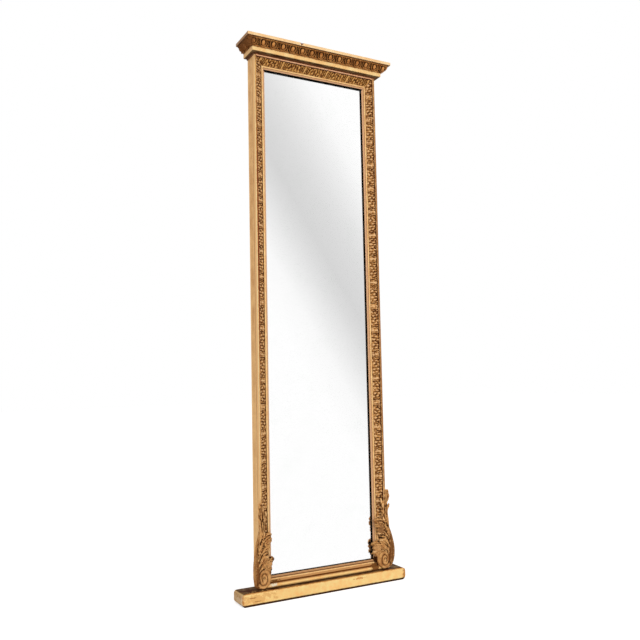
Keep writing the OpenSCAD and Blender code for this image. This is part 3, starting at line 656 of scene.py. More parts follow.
def carved_sheet(columns, rows, face, back):
    """A carved strip: a grid laid over the face, and closed to a plain back behind it."""
    mesh = bmesh.new()
    bmesh.ops.create_grid(mesh, x_segments=columns, y_segments=rows, size=0.5)
    rim = [edge for edge in mesh.edges if edge.is_boundary]
    pushed = bmesh.ops.extrude_edge_only(mesh, edges=rim)["geom"]
    bmesh.ops.translate(mesh, vec=(0, 0, -1), verts=[v for v in pushed if isinstance(v, bmesh.types.BMVert)])
    bmesh.ops.holes_fill(mesh, edges=[e for e in mesh.edges if e.is_boundary], sides=0)
    for vertex in mesh.verts:
        shape = back if vertex.co.z < -0.5 else face
        vertex.co = shape(vertex.co.x + 0.5, vertex.co.y + 0.5)
    return mesh


# A dark line along the edges of the bands.
DARK_EDGE_LINE = (78, 38, 10)
BAND_TOP = FRAME_TOP - 2 * BEAD_R
PRESSED = {"patch": 60.0, "wear": 0.52, "carved": True, "crevice": 0.005, "metal": 0.2, "bump": 0.4}
# The left and top bands are darker copies of the right one, as painted shade, and the dark line along the top
# band's upper edge is the painted shadow of the cornice. All three take painted highlight on their high
# places.
BAND_GILT = {
    "right": gilded("right_band_gilding", (226, 164, 92), (146, 88, 38), bole=(156, 94, 58), dirt_and_shade_tone=(56, 22, 1),
                    shade_and_dirt=0.40, crest_highlight=(242, 198, 144), **PRESSED,
                    marks=[(DARK_EDGE_LINE, (BAND_OUT, 0.0, MID_Z), (0.0050, ANY, ANY), 120.0, 2.4),
                           (DARK_EDGE_LINE, (BAND_IN, 0.0, MID_Z), (0.0014, ANY, ANY), 120.0, 1.6)]),
    "left": gilded("left_band_shaded_gilding", (226, 164, 94), (140, 86, 36), bole=(150, 88, 52), dirt_and_shade_tone=(56, 22, 1),
                   shade_and_dirt=0.42, crest_highlight=(236, 192, 138), **PRESSED,
                   marks=[(RUBBED, (-BAND_OUT, 0.0, 1.36), (0.0054, 0.05, 0.66), 90.0, 1.1),
                          (DARK_EDGE_LINE, (-BAND_IN, 0.0, MID_Z), (0.0034, ANY, ANY), 120.0, 2.0)]),
    "top": gilded("top_band_shaded_gilding", (208, 146, 70), (136, 80, 30), bole=(128, 72, 34), dirt_and_shade_tone=(48, 17, 1),
                  shade_and_dirt=0.44, crest_highlight=(222, 170, 102), **PRESSED,
                  marks=[((58, 22, 4), (0.0, 0.0, BAND_TOP), (ANY, ANY, 0.0036), 110.0, 2.6)])}
for side in ("left", "right", "top"):
    node = side + "_carved_band"
    low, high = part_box(node)
    axis = 0 if side == "top" else 2
    start, stop = low[axis], high[axis]
    put = member(side)
    middle, lean, channel = (REPEAT / 2, TOP_LEAN, 0.9) if side == "top" else (TONGUE_Z, 0.0, 0.55)

    def on_ground(s, t, rise=0.0):
        return put(LIP_AT - t * (BAND_OUT - BAND_IN), GROUND_D + t * GROUND_RISE + rise * SLOPE,
                   start + s * (stop - start))

    def face(s, t):
        along = start + s * (stop - start)
        across = 2.0 * t - 1.0
        wave = 0.50 * noise.noise(Vector((along * 150.0, across * 2.6, start)))
        edge = min(1.0, t / 0.05, (1.0 - t) / 0.05)
        height = band_height(along - middle - lean * across, across, channel) + wave
        return on_ground(s, t, STRIP_T + BAND_RELIEF * edge * max(0.0, min(1.0, height)))

    mesh = carved_sheet(int((stop - start) / BAND_GRAIN), 24, face, on_ground)
    saw(mesh, mitres(side))
    to_piece(node, mesh, BAND_GILT[side], "gilt_carved", node, smooth=60.0, relief=(60, 0.0016))

# ---- Sight edge ----
# A plain fillet and hollow round the glass, mitred at all four corners. It is burnished gold,
# with the pinkish bole showing in the hollow.
SIGHT_T = BACK - CARCASS_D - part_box("right_sight_edge")[0].y
SIGHT_FACE = CARCASS_D + SIGHT_T
HOLLOW_D = 0.0022
sight_section = ([(LIP_AT, CARCASS_D), (LIP_AT, SIGHT_FACE - 0.0006), (LIP_AT + 0.0006, SIGHT_FACE),
                  (LIP_AT + 0.0058, SIGHT_FACE), (LIP_AT + 0.0066, SIGHT_FACE - 0.0007),
                  (LIP_AT + 0.0068, SIGHT_FACE - HOLLOW_D)]
                 + arc(LIP_AT + SIGHT_W - 0.0012, SIGHT_FACE - HOLLOW_D, -(SIGHT_W - 0.008),
                       -(SIGHT_T - 0.0034), 0, 90, 6)[1:]
                 + [(LIP_AT + SIGHT_W, CARCASS_D + 0.0012), (LIP_AT + SIGHT_W, CARCASS_D)])
# Painted shade: darker tones on the faces that look up and down, a dark line at the step into the hollow, and
# a dark patch at the right lower corner under the bracket's low leaf.
sight_gilt = gilded(
    "sight_gilding", (255, 214, 150), (236, 178, 112), bole=(196, 130, 92), dirt_and_shade_tone=(96, 56, 24), patch=30.0,
    wear=0.40, shade_and_dirt=0.27, crevice=0.007, top=(214, 164, 112), under=(190, 136, 88),
    marks=[((214, 166, 124), (0.0, BACK - CARCASS_D - HOLLOW_D, MID_Z), (ANY, 0.0036, ANY), 70.0, 0.5),
           ((150, 94, 48), (0.0, BACK - SIGHT_FACE + HOLLOW_D, MID_Z), (ANY, 0.0010, ANY), 70.0, 0.6),
           ((10, 6, 4), (0.0, BACK - CARCASS_D, FRAME_TOP - FACE_W), (ANY, 0.0017, 0.005), 70.0, 0.2),
           ((196, 146, 100), (0.0, BACK - CARCASS_D - 0.003, SIGHT_FOOT + 0.010), (ANY, 0.003, 0.008),
            60.0, 0.6),
           ((120, 74, 36), (0.0, BACK - SIGHT_FACE, SIGHT_FOOT + 0.0072), (ANY, 0.01, 0.0014), 80.0, 0.5),
           ((66, 36, 12), (SIGHT_X + 0.008, 0.0, SIGHT_FOOT + 0.012), (0.013, ANY, 0.014), 110.0, 1.6)])
for side in ("left", "right", "top", "bottom"):
    node = side + "_sight_edge"
    axis = 0 if side in ("top", "bottom") else 2
    mesh, start = moulding(node, sight_section, member(side), axis, mitres(side), 0.016)
    wear(mesh, 0.0004, 45.0, (5.0, 2.0, start))
    to_piece(node, mesh, sight_gilt, "gilt_plain", node)

# ---- Black slip ----
# Thin black-painted strips between the sight edge and the glass. They keep the bare wood from
# showing in the mirror.
def blotches(n, scale, detail, roughness, none, full):
    """Patches of noise: nothing below one level of it, and all above another."""
    return n.ramp(n.noise(n.here(), scale, detail, roughness), [(none, 0.0), (full, 1.0)])


slip_black, n = new_material("slip_black")
scuffs = blotches(n, 60.0, 7.0, 0.7, 0.5, 0.75)
finish(n, {"Base Color": n.mix(scuffs, tint(7, 4, 3), tint(20, 12, 8)),
           "Roughness": n.scaled(scuffs, 0.3, 0.6), "Specular IOR Level": 0.05})
for side in ("left", "right", "top", "bottom"):
    finish_node(side + "_slip", slip_black)

# ---- Mirror glass ----
# A sheet of clear plate glass with silver on its back, so that the black slip shows again in
# its depth. The silver has greyed very slightly here and there.
clear_glass, n = new_material("clear_glass")
haze = blotches(n, 9.0, 8.0, 0.7, 0.5, 0.8)
finish(n, {"Base Color": n.mix(haze, WHITE, (0.985, 0.99, 0.985, 1.0)), "Roughness": 0.0, "IOR": 1.5,
           "Transmission Weight": 1.0})
finish_node("mirror_glass", clear_glass)

SILVER_T, SILVER_GAP = 0.0002, 0.00002
silvering, n = new_material("silvering")
aged = blotches(n, 14.0, 9.0, 0.75, 0.56, 0.8)
painted = n.math("GREATER_THAN", facing_of(n)["Y"], 0.5)
silver = n.mix(aged, WHITE, (0.965, 0.97, 0.965, 1.0))
finish(n, {"Base Color": n.mix(painted, silver, tint(118, 60, 44)),
           "Roughness": n.scaled(aged, 0.012, n.math("MULTIPLY", painted, 0.7)),
           "Metallic": n.math("SUBTRACT", 1.0, painted)})


def box_mesh(low, high):
    mesh = bmesh.new()
    bmesh.ops.create_cube(mesh, size=1.0)
    bmesh.ops.scale(mesh, vec=high - low, verts=mesh.verts)
    bmesh.ops.translate(mesh, vec=(low + high) / 2, verts=mesh.verts)
    return mesh


low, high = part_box("mirror_glass")
mesh = box_mesh(Vector((low.x, high.y + SILVER_GAP, low.z)), Vector((high.x, high.y + SILVER_T, high.z)))
to_piece("mirror_silvering", mesh, silvering, "mirror")

# ---- Backboards ----
# Four rough pine boards with thinned edges, laid level in the back rebate and held with iron
# brads. They are brown with age.
BOARD_EDGE = 0.0035
# A corner this close to a face of the board lies on it.
ON_FACE = 0.001


def round_edges(mesh, edges, radius, segments):
    bmesh.ops.bevel(mesh, geom=edges, offset=radius, offset_type="OFFSET", affect="EDGES",
                    segments=segments, profile=0.5, material=-1)


old_pine = wooden("old_pine", (150, 112, 72), (112, 78, 46), (74, 52, 32), LEVEL, 0.85)
for i in range(1, 5):
    node = "backboard_%d" % i
    low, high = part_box(node)
    mesh = box_mesh(low, high)
    outer = [e for e in mesh.edges if all(v.co.y > high.y - ON_FACE for v in e.verts)]
    round_edges(mesh, outer, BOARD_EDGE, 2)
    slice_mesh(mesh, 0, low.x, high.x, 0.04)
    slice_mesh(mesh, 2, low.z, high.z, 0.04)
    wear(mesh, 0.0008, 9.0, (low.z, 0.0, 0.0))
    to_piece(node, mesh, old_pine, "old_pine", node)

# ---- Iron: brads and screws ----
# Cut brads through the backboards, screws up through the plinth, and screws in the hanger
# straps. All are dull iron with a little rust.
old_iron, n = new_material("old_iron")
rust = blotches(n, 420.0, 6.0, 0.7, 0.45, 0.62)
finish(n, {"Base Color": n.mix(rust, tint(116, 112, 108), tint(104, 66, 42)),
           "Roughness": n.scaled(rust, 0.4, 0.4), "Metallic": n.scaled(rust, -0.7, 0.9)})
for name in ("backboard_brads", "plinth_screws", "hanger_screws"):
    finish_node(name, old_iron)

# ---- Hangers ----
# A folded brass-plated steel strap screwed in a pocket in each stile, with a swinging wire ring
# for the wall hook.
plated, n = new_material("worn_plating")
tarnish = blotches(n, 260.0, 6.0, 0.65, 0.42, 0.66)
finish(n, {"Base Color": n.mix(tarnish, tint(196, 176, 132), tint(122, 100, 70)),
           "Roughness": n.scaled(tarnish, 0.35, 0.28), "Metallic": 0.95})
for side in ("left", "right"):
    finish_node(side + "_hanger_strap", plated)
    finish_node(side + "_hanger_ring", plated)

# ---- Plinth ----
# A solid pine block that the frame stands on, coated with gesso and gilded. Its front corners
# and its right end are rounded by wear, gesso shows at the left front corner, and its top has
# gone brown with dust.
CORNER_WEAR, EDGE_WEAR, END_WEAR = 0.012, 0.0042, 0.015
FLAT_FOOT = 0.002
# An edge that turns by more radians than this is a corner of the block.
SHARP = 1.2
low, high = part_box("plinth")
mesh = box_mesh(low, high)
ends = [e for e in mesh.edges if e.verts[0].co.x == e.verts[1].co.x
        and any(v.co.y < low.y + ON_FACE for v in e.verts)]
round_edges(mesh, ends, CORNER_WEAR, 5)
rims = [e for e in mesh.edges if e.calc_face_angle(0.0) > SHARP
        and all(v.co.z > high.z - ON_FACE for v in e.verts)]
round_edges(mesh, rims, EDGE_WEAR, 3)
slice_mesh(mesh, 0, low.x, high.x, 0.010)
slice_mesh(mesh, 2, low.z, high.z, 0.0035)
wear(mesh, 0.0008, 38.0, (3.1, 0.7, 1.9))
for vertex in mesh.verts:
    vertex.co.z = max(vertex.co.z, low.z) if vertex.co.z > low.z + FLAT_FOOT else low.z
    tucked = max(0.0, 1.0 - (vertex.co.z - low.z) / END_WEAR, 1.0 - (high.z - vertex.co.z) / END_WEAR)
    nearness = max(0.0, 1.0 - (high.x - vertex.co.x) / (2 * END_WEAR))
    vertex.co.x -= END_WEAR * nearness * (1.0 - sqrt(max(0.0, 1.0 - tucked * tucked)))
# Painted shade on the plinth: its left end, its rounded right end, and along its bottom edge a painted
# contact shadow mixed with grime.
plinth_gilt = gilded(
    "plinth_gilding", (255, 225, 152), (255, 200, 124), bole=(214, 148, 84), dirt_and_shade_tone=(160, 100, 48),
    patch=36.0, wear=0.44, shade_and_dirt=0.26, crevice=0.012, top=(68, 30, 2), under=(140, 104, 66),
    behind=(140, 104, 66), left=(184, 142, 98),
    marks=[((238, 186, 114), (low.x + 0.06, low.y, 0.024), (0.07, 0.02, 0.020), 70.0, 4.5),
           ((190, 128, 66), (low.x + 0.04, low.y, 0.029), (0.020, 0.02, 0.0024), 160.0, 2.5),
           ((190, 128, 66), (low.x + 0.06, low.y, 0.015), (0.018, 0.02, 0.0018), 160.0, 2.5),
           ((220, 156, 88), (0.13, low.y, 0.034), (0.030, 0.02, 0.004), 150.0, 4.0),
           ((216, 182, 140), (low.x, low.y + 0.040, 0.018), (0.004, 0.034, 0.014), 160.0, 4.0),
           ((236, 212, 172), (low.x + 0.002, low.y + 0.008, 0.020), (0.004, 0.010, 0.018), 420.0, 6.0),
           ((206, 140, 74), (low.x, low.y, 0.024), (0.009, 0.009, 0.03), 130.0, 2.4),
           ((198, 136, 72), (high.x, low.y, 0.020), (0.020, 0.012, 0.03), 110.0, 2.2),
           ((206, 140, 72), (0.0, low.y, high.z), (ANY, 0.006, 0.0030), 90.0, 2.6),
           ((56, 28, 6), (0.0, low.y, 0.0), (ANY, 0.07, 0.0082), 110.0, 0.5)])
to_piece("plinth", mesh, plinth_gilt, "gilt_plinth", "plinth")

# ---- Bottom moulding ----
# A pine run of a round torus, a groove and a small ogee, planed in one length, gilded, and
# glued to the plinth and the bottom rail under the glass.
TORUS_R = 0.0081
GROOVE_DEEP = 0.0110
GESSO = (246, 232, 204)
low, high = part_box("base_moulding")
torus_d = BACK - low.y
groove_d = torus_d - GROOVE_DEEP
foot, top = low.z, high.z
base_section = ([(foot, CARCASS_D)]
                + arc(foot + TORUS_R, torus_d - TORUS_R, -TORUS_R, TORUS_R, 0, 180, 18)
                + [(foot + 0.0163, groove_d), (foot + 0.0190, groove_d - 0.0008)]
                + arc(foot + 0.0212, groove_d - 0.0030, -0.0018, 0.0026, 20, 180, 6)
                + [(foot + 0.0240, groove_d - 0.0036), (top, CARCASS_D + 0.0060), (top, CARCASS_D)])
mesh, _ = moulding("base_moulding", base_section,
                   lambda rise, out, along: Vector((along, BACK - out, rise)), 0, (), 0.010)
wear(mesh, 0.0005, 60.0, (0.2, 4.0, 1.1))
# Painted shade on the moulding: darker tones on its up- and down-facing faces, a dark line in the groove, and
# darker patches by each volute, with some grime by the right one.
moulding_gilt = gilded(
    "moulding_gilding", (255, 218, 146), (254, 190, 114), dirt_and_shade_tone=(84, 46, 16), patch=26.0, wear=0.42,
    shade_and_dirt=0.26, crevice=0.009, top=(206, 146, 86), under=(96, 54, 20),
    marks=[(GESSO, (-0.222, low.y + 0.004, foot + 0.011), (0.016, 0.012, 0.005), 260.0, 3.4),
           ((112, 62, 20), (0.0, BACK - groove_d, foot + 0.0178), (ANY, 0.009, 0.0024), 120.0, 0.8),
           ((206, 150, 92), (0.0, BACK - groove_d, foot + 0.0235), (ANY, 0.02, 0.0036), 120.0, 1.2),
           ((132, 84, 40), (0.222, low.y, foot + 0.014), (0.022, 0.05, 0.022), 110.0, 3.0),
           ((126, 80, 36), (-0.218, low.y, foot + 0.027), (0.030, 0.05, 0.009), 110.0, 3.0)])
to_piece("base_moulding", mesh, moulding_gilt, "gilt_plinth", "base_moulding")

# ---- Cornice: bed moulding and fascia ----
# A small quarter-round in the angle under the cornice, its gilding painted dark brown for the shade there,
# then a plain flat fascia, mitred at the front corners and gilded, with painted shade on its underside.
ARRIS = 0.0012
FASCIA_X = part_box("right_fascia")[1].x
FASCIA_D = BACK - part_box("front_fascia")[0].y
FASCIA_T = FASCIA_X - FRAME_X


def cornice_member(side):
    """Places a point of one side of the cornice: out past the fascia's face, up, and along."""
    if side == "front":
        return lambda out, up, along: Vector((along, BACK - FASCIA_D - out, up))
    sign = 1 if side == "right" else -1
    return lambda out, up, along: Vector((sign * (FASCIA_X + out), along, up))


def cornice_mitres(side):
    """Saw cuts at the front corners of the cornice, as for the frame."""
    y = BACK - FASCIA_D
    if side == "front":
        return [((FASCIA_X, y, 0), (1, 1, 0)), ((-FASCIA_X, y, 0), (-1, 1, 0))]
    sign = 1 if side == "right" else -1
    return [((sign * FASCIA_X, y, 0), (-sign, -1, 0))]


# The fascia's underside takes painted shade, and its left-facing end a slightly darker painted shade.
fascia_gilt = gilded(
    "fascia_gilding", (255, 222, 158), (248, 192, 118), patch=24.0, wear=0.34, shade_and_dirt=0.26, crevice=0.010,
    under=(72, 38, 14), left=(240, 192, 134),
    marks=[((128, 78, 34), (0.0, BACK - FASCIA_D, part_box("front_fascia")[1].z), (ANY, 0.01, 0.0026),
            130.0, 3.0)])
bed_shade_gilt = gilded("bed_painted_shade", (122, 70, 34), (90, 48, 20), dirt_and_shade_tone=(46, 22, 6), patch=30.0, wear=0.44,
                  shade_and_dirt=0.44, crevice=0.014)
for side in ("front", "left", "right"):
    axis = 0 if side == "front" else 1
    put = cornice_member(side)
    node = side + "_bed_moulding"
    low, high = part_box(node)
    inner = BACK - FASCIA_D - high.y if side == "front" else -FASCIA_T
    size = high.z - low.z
    bed_section = [(inner, high.z)] + [(inner + size * cos(a), high.z - size * sin(a))
                                       for a in (radians(15 * i) for i in range(7))]
    mesh, _ = moulding(node, bed_section, put, axis, (), 0.02)
    to_piece(node, mesh, bed_shade_gilt, "gilt_plain", node)

    node = side + "_fascia"
    low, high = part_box(node)
    fascia_section = [(-FASCIA_T, low.z), (-ARRIS, low.z), (0.0, low.z + ARRIS), (0.0, high.z),
                      (-FASCIA_T, high.z)]
    mesh, start = moulding(node, fascia_section, put, axis, cornice_mitres(side), 0.012)
    wear(mesh, 0.0004, 50.0, (start, 3.0, 0.0))
    to_piece(node, mesh, fascia_gilt, "gilt_plain", node)

# ---- Egg-and-dart moulding ----
# Carved pine quarter-round, mitred at the corners: eggs in their husks with a dart between
# each pair. The gold is bright on the eggs, with painted shade and grime between them, and painted shade on
# the left return.
EGG_PITCH = 0.042
EGG_HALF, HUSK_HALF = 0.0076, 0.0140
DART_HALF, HEAD_FLARE = 0.0016, 0.0024
EGG_GRAIN = 0.0012
EGG_PROUD = 0.002
EGG_SUNK, EGG_RELIEF = 0.0066, 0.0084
FILLET, SILL, LIP = 0.06, 0.002, 0.003
low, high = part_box("front_egg_moulding")
EGG_Z, EGG_H = low.z, high.z - low.z
EGG_REACH = BACK - low.y - FASCIA_D - EGG_PROUD


def egg_height(along, up):
    """Height of the carving, 0 to 1: along from the middle of an egg, up from 0 to 1."""
    s = (along + EGG_PITCH / 2) % EGG_PITCH - EGG_PITCH / 2
    oval = hypot(s / EGG_HALF, (up - 0.55) / 0.37)
    egg = 0.35 + 0.50 * sqrt(1.0 - oval * oval) if oval < 1.0 else 0.0
    husk = 0.86 * bump_at(hypot(s / HUSK_HALF, (up - 0.66) / 0.58), 1.0, 0.13)
    dart = 0.66 * bump_at(EGG_PITCH / 2 - abs(s), 0.0, DART_HALF + HEAD_FLARE * bump_at(up, 0.26, 0.12))
    return max(egg, husk, dart) * (1.0 - 0.22 * noise.noise(Vector((along * 31.0, up * 3.0, 8.0))))


egg_gilt = gilded(
    "egg_gilding", (226, 160, 90), (170, 104, 46), bole=(140, 78, 34), dirt_and_shade_tone=(34, 14, 2), patch=50.0,
    wear=0.42, shade_and_dirt=0.44, carved=True, crevice=0.012, metal=0.2, bump=0.35,
    marks=[((128, 80, 40), (-FASCIA_X - EGG_REACH, 0.0, EGG_Z + EGG_H / 2), (0.027, ANY, 0.05), 220.0, 3.6)])
for side in ("front", "left", "right"):
    node = side + "_egg_moulding"
    low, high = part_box(node)
    axis = 0 if side == "front" else 1
    start, stop = low[axis], high[axis]
    put = cornice_member(side)
    middle = 0.0 if side == "front" else BACK - FASCIA_D - (7 * EGG_PITCH - FASCIA_X)

    def face(s, t):
        along = start + s * (stop - start)
        if t < FILLET:
            return put(0.0, EGG_Z + t / FILLET * SILL, along)
        if t > 1.0 - FILLET:
            return put(EGG_REACH, EGG_Z + EGG_H - LIP * (1.0 - t) / FILLET, along)
        up = (t - FILLET) / (1.0 - 2 * FILLET)
        turn = radians(90.0 * up - 90.0)
        rise = EGG_H - LIP - SILL
        out, high_up = EGG_REACH * cos(turn), EGG_H - LIP + rise * sin(turn)
        normal = Vector((cos(turn) / EGG_REACH, sin(turn) / rise)).normalized()
        edge = min(1.0, up / 0.07, (1.0 - up) / 0.05)
        wave = 0.16 * noise.noise(Vector((along * 260.0, up * 7.0, 0.0)))
        push = edge * (EGG_RELIEF * (egg_height(along - middle, up) + wave) - EGG_SUNK)
        return put(out + normal.x * push, EGG_Z + high_up + normal.y * push, along)

    def back(s, t):
        return put(-FASCIA_T, EGG_Z + t * EGG_H, start + s * (stop - start))

    mesh = carved_sheet(int((stop - start) / EGG_GRAIN), 34, face, back)
    saw(mesh, cornice_mitres(side))
    to_piece(node, mesh, egg_gilt, "gilt_carved", node, smooth=60.0, relief=(12, 0.0009))

# ---- Top board ----
# A flat pine board that closes the cornice, gilded on its edges. There is a nick in its front
# edge, and its top is bare and dusty.
NICK_X = -0.093
NICK_HALF, NICK_DEEP = 0.007, 0.004
NICK_CUT = Vector((0.0, 0.0030, -0.0016))
low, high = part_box("top_board")
mesh = box_mesh(low, high)
fronts = [e for e in mesh.edges if e.calc_face_angle(0.0) > SHARP
          and any(v.co.y < low.y + ON_FACE for v in e.verts)]
round_edges(mesh, fronts, ARRIS, 2)
slice_mesh(mesh, 0, low.x, high.x, 0.012)
slice_mesh(mesh, 0, NICK_X - 0.012, NICK_X + 0.012, 0.002)
wear(mesh, 0.0006, 42.0, (7.0, 0.3, 0.0))
for vertex in mesh.verts:
    reach = abs(vertex.co.x - NICK_X) / NICK_HALF
    if reach < 1.0 and vertex.co.y < low.y + NICK_DEEP and vertex.co.z > high.z - NICK_DEEP:
        vertex.co += NICK_CUT * (1.0 - reach)
# Painted shade: a dark tone on the board's underside and on its left end.
board_gilt = gilded(
    "top_board_gilding", (255, 222, 170), (240, 190, 130), bole=(208, 140, 92), patch=22.0, wear=0.42,
    shade_and_dirt=0.27, crevice=0.010, under=(92, 52, 22), behind=(140, 104, 66), top=(134, 100, 66),
    left=(166, 124, 90),
    marks=[((116, 56, 30), (NICK_X, low.y, high.z - 0.003), (NICK_HALF, 0.009, 0.008), 150.0, 1.4)])
to_piece("top_board", mesh, board_gilt, "gilt_plain", "top_board")

# ---- Scroll brackets: bodies ----
# Pine brackets carved in the round, glued to the corners of the frame and the plinth. Each
# bulges out over the plinth, is fluted along its outer edge, and fairs back to the wall.
DRAWN_H, DRAWN_OUT = 0.204, 0.033
LEFT_BULGE = 0.86
FLUTE, FLUTE_DEPTH = 0.0110, 0.0042
SIDE_GROOVE = 0.0010
FRONT_SHARE, FADE = 0.66, 0.08
low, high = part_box("right_scroll_body")
BODY_FOOT, BODY_H, BODY_D = low.z, high.z - low.z, BACK - low.y
UP_K, OUT_K = BODY_H / DRAWN_H, (high.x - FRAME_X) / DRAWN_OUT
volute_low, volute_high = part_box("right_volute")
VOLUTE_OUT, VOLUTE_GROWS = 0.0015, 0.0022
VOLUTE_X = (volute_low.x + volute_high.x) / 2 + VOLUTE_OUT
VOLUTE_Z = (volute_low.z + volute_high.z) / 2 + VOLUTE_GROWS
VOLUTE_A = (volute_high.x - volute_low.x) / 2 + VOLUTE_GROWS
VOLUTE_B = (volute_high.z - volute_low.z) / 2 + VOLUTE_GROWS
VOLUTE_SEAT_D = 0.060
SEAT_SHARE = 0.97


def flow(points, steps=8):
    """A round curve through given points."""
    points = [Vector(p) for p in points]
    ends = [2 * points[0] - points[1]] + points + [2 * points[-1] - points[-2]]
    curve = []
    for a, b, c, d in zip(ends, ends[1:], ends[2:], ends[3:]):
        for i in range(steps):
            t = i / steps
            curve.append(0.5 * (2 * b + (c - a) * t + (2 * a - 5 * b + 4 * c - d) * t * t
                                + (3 * b - a - 3 * c + d) * t ** 3))
    return curve + [points[-1]]


def read_curve(curve, place):
    return float(np.interp(place, [p[0] for p in curve], [p[1] for p in curve]))


def bracket(side):
    """Places a point of a bracket: its distance from the middle of the mirror, height and depth."""
    sign = 1 if side == "right" else -1
    return lambda x, z, d: Vector((sign * x, BACK - d, z))


# Outlines of the body at the size they were drawn: up from the plinth, against outwards from the
# side of the frame, back from its foremost place, or forward of the wall.
OUTER = flow([(0.0, -0.003), (0.006, 0.017), (0.020, 0.0285), (0.042, 0.0345), (0.062, 0.0358),
              (0.090, 0.0350), (0.121, 0.0300), (0.151, 0.0226), (0.171, 0.0158), (0.188, 0.0105),
              (0.204, 0.006)])
INNER = [(0.0, -0.003), (0.008, -0.012), (0.054, -0.016), (0.068, -0.0364), (0.204, -0.0364)]
FRONT = flow([(0.0, -0.009), (0.006, -0.006), (0.030, -0.002), (0.070, 0.0), (0.110, -0.002),
              (0.150, -0.006), (0.185, -0.009), (0.204, -0.010)])
ROOT = [(0.0, 0.004), (0.064, 0.004), (0.134, 0.018), (0.174, 0.039), (0.204, 0.050)]
BULGE = {"left": LEFT_BULGE * OUT_K, "right": OUT_K}


def body_section(up, bulge):
    """The bracket's section in plan at one height: from its inner edge round to the wall."""
    x_out = FRAME_X + read_curve(OUTER, up) * bulge
    x_in = FRAME_X + read_curve(INNER, up)
    front = BODY_D + read_curve(FRONT, up)
    root_x, root_d = min(FRAME_X, x_out), read_curve(ROOT, up)
    width = x_out - x_in
    return flow([(x_in, front - 0.016), (x_in + 0.35 * width, front - 0.011),
                 (x_in + 0.70 * width, front - 0.0015), (x_out - 0.0015, front - 0.0025),
                 (x_out, front - 0.008),
                 (x_out + 0.50 * (root_x - x_out), front + 0.42 * (root_d - front)),
                 (root_x, root_d)], 10)


# Painted light alike on both brackets: how far out and up, and the reach both ways; then a grain for the
# painted highlights on the lobes, and a raggedness for the painted shadows between them.
LIT_LOBES = [(0.2390, 0.187, 0.0100, 0.0045, 160.0), (0.2480, 0.162, 0.0080, 0.0036, 160.0),
         (0.2632, 0.338, 0.0026, 0.0140, 200.0), (0.2525, 0.318, 0.0026, 0.0120, 200.0),
         (0.2575, 0.299, 0.0024, 0.0100, 200.0), (0.2600, 0.246, 0.0032, 0.0090, 200.0),
         (0.2230, 0.118, 0.0080, 0.0036, 200.0)]
SHADOWED_HOLLOWS = [(0.2655, 0.088, 0.0016, 0.0060, 0.6), (0.2610, 0.231, 0.0048, 0.0034, 1.0),
           (0.2640, 0.205, 0.0026, 0.0060, 1.0), (0.2300, 0.197, 0.0036, 0.0050, 1.0),
           (0.2510, 0.171, 0.0065, 0.0030, 1.0), (0.2370, 0.157, 0.0055, 0.0028, 1.0)]
LEAF_D, SHADED_SIDE_D = 0.066, 0.050
leaf_y = BACK - LEAF_D
lobe_highlights = [((246, 196, 134), (x, leaf_y, z), (w, 0.03, h), grain, 1.6) for x, z, w, h, grain in LIT_LOBES]
hollow_shadows = [((44, 20, 4), (x, leaf_y, z), (w, 0.03, h), 160.0, ragged) for x, z, w, h, ragged in SHADOWED_HOLLOWS]
# The scroll gilding carries painted light. Painted shade goes on the near-black backs and the darker
# right-facing sides, the right bracket's outer flank, the left low leaf's tips, the volute sides and the
# body's outer rim. Painted highlights go on the volute eye and the lit lobes, with painted shadows in the
# hollows.
scroll_gilt = gilded(
    "scroll_gilding", (240, 184, 114), (176, 114, 60), bole=(160, 96, 58), dirt_and_shade_tone=(88, 46, 14), patch=58.0,
    wear=0.54, shade_and_dirt=0.38, carved=True, crevice=0.008, metal=0.2, bump=0.5, crest_highlight=(236, 188, 128),
    behind=(30, 20, 12), right=(120, 78, 42),
    marks=[((136, 90, 50), (0.297, leaf_y, 0.130), (0.011, 0.06, 0.070), 130.0, 3.8),
           ((150, 104, 62), (0.248, leaf_y, 0.206), (0.014, 0.03, 0.026), 260.0, 5.0),
           ((112, 70, 34), (-0.222, leaf_y, 0.118), (0.016, 0.06, 0.052), 130.0, 3.0)],
    paired=[((206, 154, 98), (0.233, leaf_y, 0.132), (0.016, 0.03, 0.013), 170.0, 4.0),
            ((78, 40, 14), (0.233, BACK - SHADED_SIDE_D, 0.082), (0.013, 0.013, 0.042), 110.0, 0.8),
            ((134, 84, 42), (0.287, leaf_y, 0.100), (0.007, 0.03, 0.050), 130.0, 3.2), *lobe_highlights,
            ((226, 174, 112), (0.2622, leaf_y, 0.080), (0.0056, 0.03, 0.0095), 150.0, 1.8), *hollow_shadows])
RIBBON_FROM, RIBBON_FALLS = 0.92, 0.52
RIBBON_W = 0.41


def ribbon_edge(turn):
    """How far the volute's outer ribbon reaches, as a share of its size, at a place round it."""
    wound = (RIBBON_FROM - turn) % 1.0
    fall = min(1.0, max(0.0, (wound - RIBBON_FALLS) / (1.0 - RIBBON_FALLS)))
    return 1.0 - RIBBON_W * fall * fall * (3.0 - 2.0 * fall)


def turn_to(across, rise):
    """How far round the volute a place is, in whole turns."""
    return (np.arctan2(rise, across) / (2 * pi)) % 1.0


